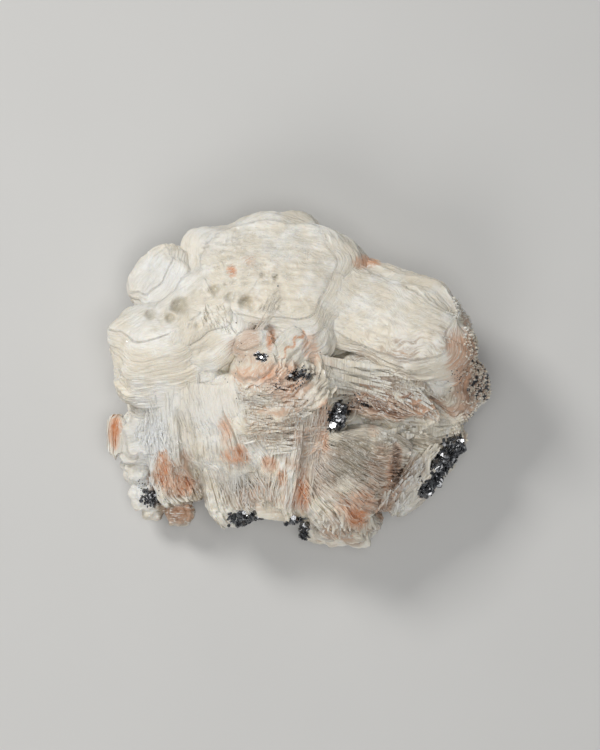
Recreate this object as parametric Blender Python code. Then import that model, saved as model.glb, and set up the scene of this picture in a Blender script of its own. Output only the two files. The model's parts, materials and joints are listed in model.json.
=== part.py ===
"""Calcite with specular hematite: a hand specimen of bladed calcite, lying on its broken underside.

The calcite grew as bundles of thin blades that splay like the pages of a book and run into each
other, so all of it is one solid. The hematite sits on it in clusters of black hexagonal plates, each
a solid of its own in a socket in the calcite. Sizes are in millimetres and are turned into metres
where a shape is made. +Z is up, and the origin is the middle of the flat spot that the stone rests on.
"""

import math
import random
from collections import namedtuple

import bmesh
import bpy
import numpy as np
from mathutils import Matrix, Vector, noise
from mathutils.bvhtree import BVHTree

MM = 0.001

# The whole stone
SOCKET_GAP = 0.35
SEAM = 1e-5
FLOOR_CUTTER_SIDE = 140.0
ROOT_FACETS = 3
KNOB_FACETS = 2
SOCKET_FACETS = 2
SIGHT_LENGTH = 80.0
SEAT_DEPTH = 0.2
PIT_DEPTH = 0.6

# Hematite lumps and plates, as shares of a cluster's radius
LUMP_SIZE = 0.9
PLATE_SIZE = 0.5
PLATE_TAPER = 0.82
PLATE_THICKNESS = 0.5
PLATE_SUNK = 0.85
PLATE_FACING = 0.9
LUMP_SPACING = 1.1

# The blades' outlines
RIM_POINTS = 12
THINNEST_ROOT = 0.4
LOBE_SIZE = 0.12
LOBE_COUNT = 1.9
LOBE_DRIFT = 1.1
LEDGE_STEP = 0.12
LEDGE_SLIDE = 0.03
GROOVE = 0.10
BARREL = 0.16
CROWN = [(0.84, 0.06), (0.5, 0.18)]

# How the bundles lie level with each other
LEVEL_CELL = 2
LEVEL_REACH = (50, 44)
LEVEL_BLUR = 4.5
SETTLE_SHARE = 0.85
SETTLE_DEPTH = 10.0
RECESS_RIM = 1.25

Bundle = namedtuple("Bundle", "name at face along length width depth fan square taper ledges seed")
Knob = namedtuple("Knob", "name at radius stretch seed")
Pit = namedtuple("Pit", "name at radius")
Cluster = namedtuple("Cluster", "name at run radius facing plates seed")
Recess = namedtuple("Recess", "name at wide high amount")

# Each bundle of blades: its middle, the way its front face looks, the way its blades run, their
# length and width, the thickness of the stack, by how many degrees it splays at the far end, how
# square the blades are (2 is an ellipse), by what share the front blade is smaller than the back
# one, and how many ledges the stack has.
BUNDLES = [
    Bundle("top_dome", (-7, 23, 18), (-0.08, 0.35, 0.94), (1, -0.1, 0),
           50, 39, 17, 8, 2.4, 0.22, 4, 3),
    Bundle("upper_left_fan", (-31, 23.6, 13), (-0.5, 0.5, 0.7), (0.7, 0.7, 0),
           21, 18, 10, 10, 2, 0.2, 2, 8),
    Bundle("left_lobe", (-29.2, 3.4, 15.5), (-0.15, 0.88, 0.45), (0.97, 0.15, -0.1),
           27, 25, 27, 10, 2.6, 0, 6, 5),
    Bundle("pitted_shoulder", (-20, 15.5, 20.5), (-0.3, 0.35, 0.88), (0.8, 0.6, 0),
           33, 25, 14, 8, 2.2, 0.15, 4, 6),
    Bundle("centre_fan", (-4.7, 1, 23.2), (-0.36, 0.5, 0.79), (0.85, 0.5, 0),
           40, 38, 22, 10, 2.2, 0.64, 6, 13),
    Bundle("tan_disc", (-10.4, 9, 33.8), (-0.3, 0.4, 0.87), (0.95, 0.2, 0),
           10, 7, 5, 4, 2, 0.1, 2, 15),
    Bundle("orange_lip", (-1, 8, 28.5), (-0.35, 0.35, 0.87), (0.75, 0.65, 0),
           13.5, 9, 7, 8, 2.4, 0.1, 3, 17),
    Bundle("right_block", (20.5, 14.2, 21), (-0.12, 0.22, 0.96), (1, -0.42, 0.02),
           46, 23, 15, 10, 2.8, 0.1, 3, 19),
    Bundle("right_flank", (31, 3.6, 14), (-0.25, 0.1, 0.96), (0.3, -0.95, 0),
           29, 22, 14, 8, 2.4, 0.25, 3, 23),
    Bundle("feather_bundle", (18.5, -0.5, 19), (0.15, 0.62, 0.77), (0.95, -0.3, 0.1),
           30, 16, 14, 16, 2.2, 0.3, 5, 29),
    Bundle("cream_shelf", (27, -12, 13), (0.35, 0.75, 0.56), (0.9, 0.3, 0.1),
           22, 13, 14, 16, 2.4, 0.1, 4, 31),
    Bundle("lower_right_blades", (24.5, -21.5, 11), (0.78, -0.5, 0.38), (0.5, 0.85, 0.05),
           21, 14, 11, 24, 2.4, 0, 5, 37),
    Bundle("barrel_fan", (11.5, -21, 19), (0.58, 0.79, 0.2), (0.8, -0.6, -0.1),
           22, 19, 22, 46, 2.2, 0, 6, 41),
    Bundle("bottom_tips", (10.5, -31.5, 8), (0.05, -0.1, 0.99), (1, 0, 0),
           19, 12, 8, 6, 3, 0.15, 3, 43),
    Bundle("curtain", (1.5, -14.5, 19.5), (0.95, -0.2, 0.2), (-0.2, -0.96, -0.22),
           34, 19, 11, 10, 2.4, 0, 5, 47),
    Bundle("lower_fan", (-9.8, -20.6, 13.5), (0.92, 0.38, 0.25), (0.36, -0.9, -0.3),
           20.5, 20, 22, 14, 2.4, 0, 5, 53),
    Bundle("left_centre_fan", (-20, -9, 18), (0.9, 0.1, 0.4), (0, -0.9, -0.4),
           27, 21, 25, 34, 2.2, 0, 6, 59),
    Bundle("left_shelf", (-33, -12, 10), (-0.2, 0.1, 0.97), (1, 0.3, 0),
           18, 15, 9, 8, 2.6, 0.2, 2, 61),
    Bundle("stained_ribs", (-27.5, -21, 10), (0.9, 0.35, 0.25), (0.2, -0.95, -0.1),
           14, 12, 9, 12, 3, 0, 3, 67),
    Bundle("orange_blade", (-41.6, -12.2, 10), (0.95, -0.1, 0.3), (0.12, 1, 0.05),
           11, 6, 3, 4, 3, 0, 2, 71),
]

# Places where the creases between bundles stay, and how much of them
RECESSES = [
    Recess("round_centre_hematite", (10.5, -7), 5, 6, 1.0),
    Recess("lower_left_notch", (-24, -24), 4, 4, 1.0),
    Recess("left_notch", (-41, -5), 5, 3, 1.0),
    Recess("under_feather", (27, -9.5), 12, 4, 0.7),
    Recess("round_barrel", (22, -21), 15, 13, 0.45),
    Recess("below_lip", (-2, -3), 12, 9, 0.4),
]

# Round calcite knobs at the lower left
KNOBS = [
    Knob("knob_upper", (-36.5, -19.5, 8.5), 4.2, 0.8, 1),
    Knob("knob_middle", (-35, -25.5, 7.5), 3.8, 0.8, 2),
    Knob("knob_lower", (-33.5, -28.5, 6.5), 3.0, 0.9, 3),
    Knob("knob_pink", (-27.5, -30, 7), 3.4, 0.8, 4),
]

# Round pits in the shoulder, between its blades
PITS = [
    Pit("pit_left", (-24.2, 17.9), 2.6),
    Pit("pit_upper", (-19.1, 21.4), 2.0),
    Pit("pit_middle", (-15.2, 19.8), 2.0),
    Pit("pit_right", (-12.2, 17.9), 1.8),
    Pit("pit_low", (-27.6, 13.1), 1.6),
]

# The massive calcite behind the blades, which broke off the wall of the vein
ROOT_MASS = Knob("root_mass", (0, -1, 11), 31, 0.39, 9)
KNOB_ROUGHNESS = 0.12
KNOB_BUMPS = 1.7

# The flat faces that it broke along: the way each looks, and its distance from the middle
CLEAVAGES = [
    ((0.62, 0.1, -0.78), 19.5),
    ((-0.5, 0.35, -0.79), 18.0),
    ((0.1, 0.75, -0.66), 20.0),
    ((-0.2, -0.72, -0.66), 18.5),
    ((0.45, -0.55, -0.7), 19.0),
]

# Hematite: the middle of each cluster, how far it runs, the radius and facing of its lumps, and
# how many plates stand out of each
CLUSTERS = [
    Cluster("hematite_centre", (8.7, -7.5, 21), (-1, -3, 0), 2.4, (0.1, 0, 1), 8, 101),
    Cluster("hematite_fleck", (-8, 5.6, 33), (1.6, -0.8, 0), 1.1, (-0.2, 0.2, 1), 5, 103),
    Cluster("hematite_lower_right", (32.6, -19.3, 15), (7, 10, 0), 2.8, (0.6, -0.4, 1), 7, 107),
    Cluster("hematite_bottom", (-0.8, -34.5, 7), (1.5, 3, 1), 2.2, (-0.2, -0.8, 0.6), 6, 109),
    Cluster("hematite_lower_left", (-12, -31.5, 9), (5, -2.5, 0), 2.3, (-0.2, -0.8, 0.5), 6, 113),
    Cluster("hematite_foot", (-33, -26, 11), (1.5, 1.5, 0), 1.6, (0, -0.2, 1), 5, 127),
]


def new_object(name, bm, colour, roughness, metallic=0.0):
    """A mesh object with one Principled material, in metres."""
    bm.normal_update()
    bmesh.ops.recalc_face_normals(bm, faces=bm.faces)
    bmesh.ops.scale(bm, vec=(MM, MM, MM), verts=bm.verts)
    mesh = bpy.data.meshes.new(name)
    bm.to_mesh(mesh)
    bm.free()
    material = bpy.data.materials.new(name)
    material.use_nodes = True
    shader = material.node_tree.nodes["Principled BSDF"]
    shader.inputs["Base Color"].default_value = (*colour, 1)
    shader.inputs["Roughness"].default_value = roughness
    shader.inputs["Metallic"].default_value = metallic
    mesh.materials.append(material)
    obj = bpy.data.objects.new(name, mesh)
    bpy.context.scene.collection.objects.link(obj)
    return obj


def calcite_object(name, bm):
    return new_object(name, bm, colour=(0.80, 0.75, 0.66), roughness=0.55)


def hematite_object(name, bm):
    return new_object(name, bm, colour=(0.05, 0.05, 0.06), roughness=0.2, metallic=1.0)


def as_helper(obj):
    """A shape that only joins or cuts another, and is no piece itself."""
    obj.hide_render = True
    obj.display_type = "WIRE"
    return obj


def combine(obj, others, operation):
    """Joins the others to obj, or cuts them from it, in one exact Boolean."""
    group = bpy.data.collections.new(f"{obj.name}_{operation.lower()}")
    bpy.context.scene.collection.children.link(group)
    for other in others:
        group.objects.link(as_helper(other))
        bpy.context.scene.collection.objects.unlink(other)
    modifier = obj.modifiers.new(group.name, "BOOLEAN")
    modifier.operation = operation
    modifier.solver = "EXACT"
    modifier.operand_type = "COLLECTION"
    modifier.collection = group


def bundle_frame(bundle):
    """The bundle's place: X along the blades, Y across them, Z out of the front face."""
    out = Vector(bundle.face).normalized()
    along = Vector(bundle.along)
    along = (along - along.dot(out) * out).normalized()
    across = out.cross(along)
    turn = Matrix((along, across, out)).transposed().to_4x4()
    return Matrix.Translation(Vector(bundle.at)) @ turn


def blade_outline(bundle, angle, level):
    """The radius of a blade's lobed rim, as a share of its half length or half width."""
    power = bundle.square
    squared = (abs(math.cos(angle)) ** power + abs(math.sin(angle)) ** power) ** (-1 / power)
    place = Vector((math.cos(angle), math.sin(angle), 0)) * LOBE_COUNT
    place.z = bundle.seed + level * LOBE_DRIFT
    return squared * (1 + LOBE_SIZE * 2 * noise.noise(place))


def bundle_ring(bundle, level, share, slide):
    """One ring of the stack, from level -1 at the back to level 1 at the front face."""
    splay = math.radians(bundle.fan)
    root_depth = max(bundle.depth - bundle.length / 2 * splay, bundle.depth * THINNEST_ROOT)
    inside = min(level, 1)
    share *= (1 - BARREL * inside * inside) * (1 - bundle.taper * (inside + 1) / 2)
    ring = []
    for step in range(RIM_POINTS):
        angle = 2 * math.pi * step / RIM_POINTS
        reach = share * blade_outline(bundle, angle, level)
        x = reach * math.cos(angle) * bundle.length / 2 + slide[0]
        y = reach * math.sin(angle) * bundle.width / 2 + slide[1]
        turn = splay * level / 2
        out_from_root = x + bundle.length / 2
        z = level * root_depth / 2 + out_from_root * math.sin(turn)
        x = out_from_root * math.cos(turn) - bundle.length / 2
        ring.append(Vector((x, y, z)))
    return ring


def roll_up(rings):
    """A closed skin through the rings: a flat grid bent round, its seam merged and its ends filled."""
    points, rows = len(rings[0]), len(rings)
    bm = bmesh.new()
    bmesh.ops.create_grid(bm, x_segments=points, y_segments=rows - 1, size=1)
    for vert in bm.verts:
        column = round((vert.co.x + 1) / 2 * points)
        row = round((vert.co.y + 1) / 2 * (rows - 1))
        vert.co = rings[row][column % points]
    bmesh.ops.remove_doubles(bm, verts=bm.verts, dist=SEAM)
    ends = [edge for edge in bm.edges if edge.is_boundary]
    bmesh.ops.holes_fill(bm, edges=ends, sides=0)
    bmesh.ops.triangulate(bm, faces=bm.faces)
    return bm


def bundle_rings(bundle, stepped):
    """The rings of a stack of ledges with a groove between each two, or of a smooth stack."""
    chance = random.Random(bundle.seed)
    frame = bundle_frame(bundle)
    rings = []
    for ledge in range(bundle.ledges):
        low = 2 * ledge / bundle.ledges - 1
        high = 2 * (ledge + 1) / bundle.ledges - 1
        share = 1 - LEDGE_STEP * chance.random()
        slide = [chance.uniform(-LEDGE_SLIDE, LEDGE_SLIDE) * bundle.length for _ in range(2)]
        if not stepped:
            share, slide = 1 - LEDGE_STEP / 2, (0, 0)
        thick = high - low
        rings.append(bundle_ring(bundle, low + GROOVE * thick, share, slide))
        rings.append(bundle_ring(bundle, high - GROOVE * thick, share, slide))
    for reach, rise in CROWN:
        rings.append(bundle_ring(bundle, 1 + rise, share * reach, slide))
    return [[frame @ place for place in ring] for ring in rings]


def uneven_ball(knob, facets):
    """A ball with a coarse uneven skin."""
    bm = bmesh.new()
    bmesh.ops.create_icosphere(bm, subdivisions=facets, radius=1)
    for vert in bm.verts:
        bump = 1 + KNOB_ROUGHNESS * 2 * noise.noise(vert.co * KNOB_BUMPS + Vector((0, 0, knob.seed)))
        vert.co *= bump
        vert.co.z *= knob.stretch
        vert.co = vert.co * knob.radius + Vector(knob.at)
    return bm


def root_shape():
    """The massive calcite, its underside broken along flat cleavage faces."""
    bm = uneven_ball(ROOT_MASS, ROOT_FACETS)
    for way, reach in CLEAVAGES:
        normal = Vector(way).normalized()
        geometry = bm.verts[:] + bm.edges[:] + bm.faces[:]
        place = Vector(ROOT_MASS.at) + normal * reach
        bmesh.ops.bisect_plane(bm, geom=geometry, plane_co=place, plane_no=normal, clear_outer=True)
        open_edges = [edge for edge in bm.edges if edge.is_boundary]
        bmesh.ops.holes_fill(bm, edges=open_edges, sides=0)
    return bm


def highest(skins, x, y):
    """How high the stone reaches at a place, or 0 beside it."""
    start = Vector((x, y, SIGHT_LENGTH))
    hits = [skin.ray_cast(start, Vector((0, 0, -1)))[0] for skin in skins]
    return max([hit.z for hit in hits if hit], default=0)


def common_level(shapes):
    """A map of the smoothed height of all the shapes, with one number to the cell."""
    skins = [BVHTree.FromBMesh(bm) for bm in shapes]
    columns = np.arange(-LEVEL_REACH[0], LEVEL_REACH[0], LEVEL_CELL) + LEVEL_CELL / 2
    rows = np.arange(-LEVEL_REACH[1], LEVEL_REACH[1], LEVEL_CELL) + LEVEL_CELL / 2
    top = np.array([[highest(skins, x, y) for x in columns] for y in rows])
    reach = 3 * LEVEL_BLUR // LEVEL_CELL
    bell = np.exp(-0.5 * (np.arange(-reach, reach + 1) * LEVEL_CELL / LEVEL_BLUR) ** 2)
    known = (top > 0).astype(float)
    for axis in (0, 1):
        top = np.apply_along_axis(np.convolve, axis, top, bell, "same")
        known = np.apply_along_axis(np.convolve, axis, known, bell, "same")
    return top / np.maximum(known, SEAM)


def level_at(level, place):
    """The map's height at a place, blended between its four nearest cells."""
    x = min(max((place.x + LEVEL_REACH[0]) / LEVEL_CELL - 0.5, 0), level.shape[1] - 1)
    y = min(max((place.y + LEVEL_REACH[1]) / LEVEL_CELL - 0.5, 0), level.shape[0] - 1)
    column = min(int(x), level.shape[1] - 2)
    row = min(int(y), level.shape[0] - 2)
    square = level[row:row + 2, column:column + 2]
    across = np.array((1 - (x - column), x - column))
    up = np.array((1 - (y - row), y - row))
    return float(up @ square @ across)


def crease(place):
    """How much of a crease is left at a place: 1 in a recess, 0 away from them all."""
    deepest = 0
    for recess in RECESSES:
        away = math.hypot((place.x - recess.at[0]) / recess.wide, (place.y - recess.at[1]) / recess.high)
        soft = min(max(RECESS_RIM - away, 0), 1)
        deepest = max(deepest, recess.amount * soft * soft * (3 - 2 * soft))
    return deepest


def settled_bundle(bundle, level):
    """The bundle with its upper side drawn towards the level that all bundles share.

    Its foot stays where it is. How far a place moves is worked out on the smooth stack, so that the
    ledges keep their height.
    """
    rings = bundle_rings(bundle, stepped=True)
    for ring, smooth_ring in zip(rings, bundle_rings(bundle, stepped=False)):
        for place, smooth in zip(ring, smooth_ring):
            below = level_at(level, smooth) - smooth.z
            share = SETTLE_SHARE * (1 - crease(smooth))
            place.z += share * below * math.exp(-((max(below, 0) / SETTLE_DEPTH) ** 2))
    return roll_up(rings)


def floor_cutter():
    """What the flat spot is cut with: a block whose top is the plane that the stone rests on."""
    bm = bmesh.new()
    bmesh.ops.create_cube(bm, size=FLOOR_CUTTER_SIDE)
    bmesh.ops.translate(bm, verts=bm.verts, vec=(0, 0, -FLOOR_CUTTER_SIDE / 2))
    return calcite_object("floor_cutter", bm)


def surface_below(skin, place):
    """The place on the stone straight below."""
    start = Vector((place[0], place[1], SIGHT_LENGTH)) * MM
    return skin.ray_cast(start, Vector((0, 0, -1)))[0] / MM


def seats_of(cluster, skin):
    """Places from end to end of the cluster's run, each sunk a little into the calcite."""
    run = Vector(cluster.run)
    ends = [Vector(cluster.at) - run / 2, Vector(cluster.at) + run / 2]
    sits_on_top = cluster.facing[2] == 1
    if sits_on_top:
        ends = [surface_below(skin, end) for end in ends]
    else:
        ends = [skin.find_nearest(end * MM)[0] / MM for end in ends]
    sink = Vector(cluster.facing).normalized() * cluster.radius * SEAT_DEPTH
    steps = math.ceil((ends[1] - ends[0]).length / (cluster.radius * LUMP_SPACING))
    return [ends[0].lerp(ends[1], step / steps) - sink for step in range(steps + 1)]


def pit_cutter(pit, skin):
    """A ball that dips into the surface by a share of its radius."""
    rise = Vector((0, 0, pit.radius * (1 - PIT_DEPTH)))
    return ball(pit.name, surface_below(skin, pit.at) + rise, pit.radius, calcite_object)


def ball(name, at, radius, make, facets=1):
    bm = bmesh.new()
    bmesh.ops.create_icosphere(bm, subdivisions=facets, radius=radius)
    bmesh.ops.translate(bm, verts=bm.verts, vec=at)
    return make(name, bm)


def hematite_plate(name, seat, cluster, chance):
    """One hexagonal plate with bevelled edges, leaning out of its lump."""
    size = cluster.radius * PLATE_SIZE
    bm = bmesh.new()
    bmesh.ops.create_cone(
        bm,
        cap_ends=True,
        segments=6,
        radius1=size,
        radius2=size * PLATE_TAPER,
        depth=size * PLATE_THICKNESS,
    )
    lean = Vector([chance.uniform(-1, 1) for _ in range(3)]).normalized()
    way = (Vector(cluster.facing).normalized() * PLATE_FACING + lean).normalized()
    turn = lean.cross(way).normalized().to_track_quat("Z", "Y").to_matrix().to_4x4()
    bm.transform(Matrix.Translation(seat + way * (cluster.radius - size * PLATE_SUNK)) @ turn)
    return hematite_object(name, bm)


def grow_cluster(cluster, seats):
    """Hexagonal plates standing every way out of a row of small lumps."""
    chance = random.Random(cluster.seed)
    core = cluster.radius * LUMP_SIZE
    lumps = [ball(f"{cluster.name}_lump", seat, core, hematite_object) for seat in seats]
    lumps[0].name = cluster.name
    plates = []
    for number in range(cluster.plates):
        seat = seats[number % len(seats)]
        plates.append(hematite_plate(f"{cluster.name}_plate_{number}", seat, cluster, chance))
    combine(lumps[0], lumps[1:] + plates, "UNION")


def shells_of(bm):
    """The separate closed shells of a mesh, each as a set of faces."""
    unseen = set(bm.faces)
    shells = []
    while unseen:
        shell, front = set(), [unseen.pop()]
        while front:
            face = front.pop()
            shell.add(face)
            for edge in face.edges:
                for other in edge.link_faces:
                    if other in unseen:
                        unseen.remove(other)
                        front.append(other)
        shells.append(shell)
    return shells


def fill_hollows(obj):
    """Applies the Booleans, and keeps only the outermost shell: calcite fills what it encloses."""
    evaluated = obj.evaluated_get(bpy.context.evaluated_depsgraph_get())
    mesh = bpy.data.meshes.new_from_object(evaluated)
    obj.modifiers.clear()
    bm = bmesh.new()
    bm.from_mesh(mesh)
    shells = sorted(shells_of(bm), key=len)
    for shell in shells[:-1]:
        bmesh.ops.delete(bm, geom=list(shell), context="FACES")
    bm.to_mesh(mesh)
    bm.free()
    obj.data = mesh


def grow_calcite():
    """The massive calcite with all bundles and knobs on it, as one object."""
    root = root_shape()
    level = common_level([root] + [roll_up(bundle_rings(bundle, stepped=True)) for bundle in BUNDLES])
    bundles = {bundle.name: settled_bundle(bundle, level) for bundle in BUNDLES}
    knobs = {knob.name: uneven_ball(knob, KNOB_FACETS) for knob in KNOBS}
    stone = calcite_object("calcite_mass", root)
    grown = [calcite_object(name, bm) for name, bm in {**bundles, **knobs}.items()]
    combine(stone, grown, "UNION")
    return stone


def build_stone():
    stone = grow_calcite()
    combine(stone, [floor_cutter()], "DIFFERENCE")
    fill_hollows(stone)
    skin = BVHTree.FromObject(stone, bpy.context.evaluated_depsgraph_get())
    hollows = [pit_cutter(pit, skin) for pit in PITS]
    for cluster in CLUSTERS:
        seats = seats_of(cluster, skin)
        grow_cluster(cluster, seats)
        radius = cluster.radius + SOCKET_GAP
        for seat in seats:
            hollows.append(ball(f"{cluster.name}_socket", seat, radius, calcite_object, SOCKET_FACETS))
    combine(stone, hollows, "DIFFERENCE")


def clear_scene():
    for obj in list(bpy.data.objects):
        bpy.data.objects.remove(obj)


clear_scene()
build_stone()
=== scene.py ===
# %% [markdown]
# Calcite with specular hematite, dressed around its solid model.
# The stone is a bundle of bundles: thin calcite blades splay like the pages of a book, in some
# twenty packs that run into each other. Black hematite sits between them in small plates.
# The solid model has the packs as coarse ledges. Here every pack is modelled again, blade by blade.

import json
import math
import random
from collections import namedtuple

import bmesh
import bpy
import numpy as np
from mathutils import Matrix, Vector, noise

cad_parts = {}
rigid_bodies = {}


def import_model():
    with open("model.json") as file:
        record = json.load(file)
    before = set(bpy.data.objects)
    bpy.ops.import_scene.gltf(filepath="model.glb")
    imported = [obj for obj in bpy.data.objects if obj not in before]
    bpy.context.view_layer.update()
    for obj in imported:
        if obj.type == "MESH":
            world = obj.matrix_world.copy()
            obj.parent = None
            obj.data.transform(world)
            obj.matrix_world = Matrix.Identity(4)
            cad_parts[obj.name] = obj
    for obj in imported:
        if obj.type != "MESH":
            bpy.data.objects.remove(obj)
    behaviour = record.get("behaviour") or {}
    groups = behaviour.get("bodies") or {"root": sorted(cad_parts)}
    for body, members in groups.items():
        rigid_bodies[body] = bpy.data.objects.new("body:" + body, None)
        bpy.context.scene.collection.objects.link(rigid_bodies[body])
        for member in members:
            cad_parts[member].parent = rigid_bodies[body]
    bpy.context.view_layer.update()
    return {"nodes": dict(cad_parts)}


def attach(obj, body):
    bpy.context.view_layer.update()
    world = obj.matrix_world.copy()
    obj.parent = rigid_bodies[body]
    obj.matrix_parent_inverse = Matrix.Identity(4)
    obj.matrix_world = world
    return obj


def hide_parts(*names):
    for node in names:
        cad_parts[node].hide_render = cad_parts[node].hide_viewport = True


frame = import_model()
MM = 0.001


def add_object(name, data):
    """Puts a new object with this data in the scene."""
    made = bpy.data.objects.new(name, data)
    bpy.context.scene.collection.objects.link(made)
    return made


def mesh_of(name, bm):
    """Takes what a bmesh holds into a new mesh."""
    mesh = bpy.data.meshes.new(name)
    bm.to_mesh(mesh)
    bm.free()
    return mesh


# %% [markdown]
# The photograph looks straight down on the stone from far off, so a long lens keeps the sides from
# leaning. One pixel of the photograph is 0.23 mm at the stone's own outline, and its frame is 750
# pixels high, which sets how far away the camera has to be.

# %% The camera
PIXEL = 0.23
PIXELS_HIGH = 750
FRAME_HEIGHT = PIXELS_HIGH * PIXEL
OUTLINE_HEIGHT = 13.0
LENS = 200.0
SENSOR = 36.0
VIEW_CENTRE = (0.46, 1.84)
CAMERA_REACH = 10.0

camera = add_object("camera", bpy.data.cameras.new("camera"))
camera.data.lens = LENS
camera.data.sensor_width = SENSOR
camera.data.clip_end = CAMERA_REACH
camera_height = OUTLINE_HEIGHT + FRAME_HEIGHT * LENS / SENSOR
camera.location = (VIEW_CENTRE[0] * MM, VIEW_CENTRE[1] * MM, camera_height * MM)
bpy.context.scene.camera = camera
print("camera is", round(camera_height), "mm above the floor")

# %% [markdown]
# The light comes from the upper left and is soft, as from a window. An area lamp gives it, a wider and
# weaker one from below it keeps the recesses readable, and one overhead lights the top evenly. Lamps
# are sized in proportion to the stone, because a soft shadow depends on how large the lamp looks.

# %% Lights and floor
Lamp = namedtuple("Lamp", "name place size power colour")
WINDOW = Lamp("window", (-0.40, 0.40, 0.50), 0.20, 2.9, (1.0, 0.98, 0.95))
FILL = Lamp("fill", (-0.20, -0.50, 0.55), 0.40, 1.5, (1.0, 0.97, 0.94))
OVERHEAD = Lamp("overhead", (0.05, -0.05, 0.75), 0.30, 1.5, (1.0, 0.99, 0.97))
STONE_MIDDLE = (0, 0, 0.015)
ROOM_COLOUR = (0.75, 0.78, 0.82, 1)
ROOM_STRENGTH = 0.20
FLOOR_SIZE = 1.5

for lamp in (WINDOW, FILL, OVERHEAD):
    light = add_object(lamp.name, bpy.data.lights.new(lamp.name, "AREA"))
    light.data.size = lamp.size
    light.data.energy = lamp.power
    light.data.color = lamp.colour
    light.location = lamp.place
    aim = Vector(STONE_MIDDLE) - Vector(lamp.place)
    light.rotation_euler = aim.to_track_quat("-Z", "Y").to_euler()

world = bpy.data.worlds.new("room")
world.use_nodes = True
world.node_tree.nodes["Background"].inputs["Color"].default_value = ROOM_COLOUR
world.node_tree.nodes["Background"].inputs["Strength"].default_value = ROOM_STRENGTH
bpy.context.scene.world = world
bpy.context.scene.view_settings.view_transform = "Standard"

bm = bmesh.new()
bmesh.ops.create_grid(bm, x_segments=1, y_segments=1, size=FLOOR_SIZE)
floor = add_object("floor", mesh_of("floor", bm))
print("lamps:", [light.name for light in bpy.data.lights])

# %% [markdown]
# Shader maths reads best as plain expressions. A small class wraps a node's output, and its
# operators add Math nodes, so 1 - mask or mask * 0.5 can be written as they are.

# %% A wrapper for shader sockets


class Wire:
    """A value that flows through a material, with the usual arithmetic."""

    def __init__(self, shop, socket):
        self.shop = shop
        self.socket = socket

    def maths(self, operation, first, second):
        return self.shop.node("ShaderNodeMath", {"operation": operation}, {0: first, 1: second})

    def __add__(self, other):
        return self.maths("ADD", self, other)

    def __radd__(self, other):
        return self.maths("ADD", other, self)

    def __sub__(self, other):
        return self.maths("SUBTRACT", self, other)

    def __rsub__(self, other):
        return self.maths("SUBTRACT", other, self)

    def __mul__(self, other):
        return self.maths("MULTIPLY", self, other)

    def clamp(self):
        return self.maths("MINIMUM", self.maths("MAXIMUM", self, 0.0), 1.0)


class Workshop:
    """One material, its Principled shader and the nodes made for it."""

    def __init__(self, name):
        self.material = bpy.data.materials.new(name)
        self.material.use_nodes = True
        self.tree = self.material.node_tree
        self.shader = self.tree.nodes["Principled BSDF"]

    def feed(self, socket, value):
        if isinstance(value, Wire):
            self.tree.links.new(value.socket, socket)
        elif isinstance(value, tuple) and len(value) == 3 and socket.type == "RGBA":
            socket.default_value = (*value, 1)
        else:
            socket.default_value = value

    def node(self, kind, settings, inputs, output=0):
        made = self.tree.nodes.new(kind)
        for name, value in settings.items():
            setattr(made, name, value)
        for name, value in inputs.items():
            self.feed(made.inputs[name], value)
        return Wire(self, made.outputs[output])

    def place(self):
        return self.node("ShaderNodeTexCoord", {}, {}, "Object")

    def attribute(self, name, output="Fac"):
        return self.node("ShaderNodeAttribute", {"attribute_name": name}, {}, output)

    def threads(self, fineness, detail):
        """Noise that is drawn out along the blades."""
        inputs = {"Vector": self.attribute("strand", "Vector"), "Scale": fineness, "Detail": detail}
        return self.node("ShaderNodeTexNoise", {}, inputs)

    def cloud(self, size, detail=3.0, roughness=0.55):
        """Noise of about this size in millimetres."""
        scale = 1 / (size * MM)
        inputs = {"Vector": self.place(), "Scale": scale, "Detail": detail, "Roughness": roughness}
        return self.node("ShaderNodeTexNoise", {}, inputs)

    def ramp(self, value, low, high):
        """0 below low, 1 above high, smooth between them."""
        settings = {"interpolation_type": "SMOOTHSTEP"}
        inputs = {"Value": value, "From Min": low, "From Max": high}
        return self.node("ShaderNodeMapRange", settings, inputs)

    def mix(self, share, first, second):
        """A colour between two others."""
        made = self.tree.nodes.new("ShaderNodeMix")
        made.data_type = "RGBA"
        self.feed(made.inputs[0], share)
        self.feed(made.inputs[6], first)
        self.feed(made.inputs[7], second)
        return Wire(self, made.outputs[2])

    def bump(self, height, distance, strength):
        inputs = {"Height": height, "Distance": distance * MM, "Strength": strength}
        return self.node("ShaderNodeBump", {}, inputs)

    def finish(self, **sockets):
        for name, value in sockets.items():
            self.feed(self.shader.inputs[name.replace("_", " ").title()], value)
        return self.material


# %% [markdown]
# Calcite is cream to white and lets a little light in, so its edges glow. Iron stains it peach,
# orange and brown, and hematite dust blackens the gaps between blades. The gaps, pits and dark threads
# along the blades also get a painted shade, dull spots grey the cream partly as painted shade, and some
# faces flash, with a lower roughness and a painted white glint. Where each of these lies is kept on the
# mesh as an attribute, worked out blade by blade below. The shader breaks those up with noise, so that
# no edge of a stain shows the mesh.

# %% The calcite's finish
CREAM = (0.80, 0.74, 0.625)
WHITE = (0.88, 0.865, 0.81)
COOL_WHITE = (0.78, 0.80, 0.81)
TAN = (0.60, 0.435, 0.325)
BROWN = (0.25, 0.15, 0.10)
PEACH = (0.71, 0.445, 0.30)
ORANGE = (0.60, 0.235, 0.095)
RUST = (0.30, 0.12, 0.06)
# The shade colour is painted shade for gaps, pits and dark threads; the dull colour is partly painted
# shade.
PAINTED_SHADE = (0.43, 0.39, 0.29)
SOOT = (0.022, 0.022, 0.024)
DULL_AND_SHADE = (0.31, 0.255, 0.195)
HONEY = (0.60, 0.55, 0.43)
FACET_SIZE = 0.42
RELIEF_DEPTH = 0.30
RELIEF_STRENGTH = 0.85
GLOW_REACH = 0.9


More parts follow.
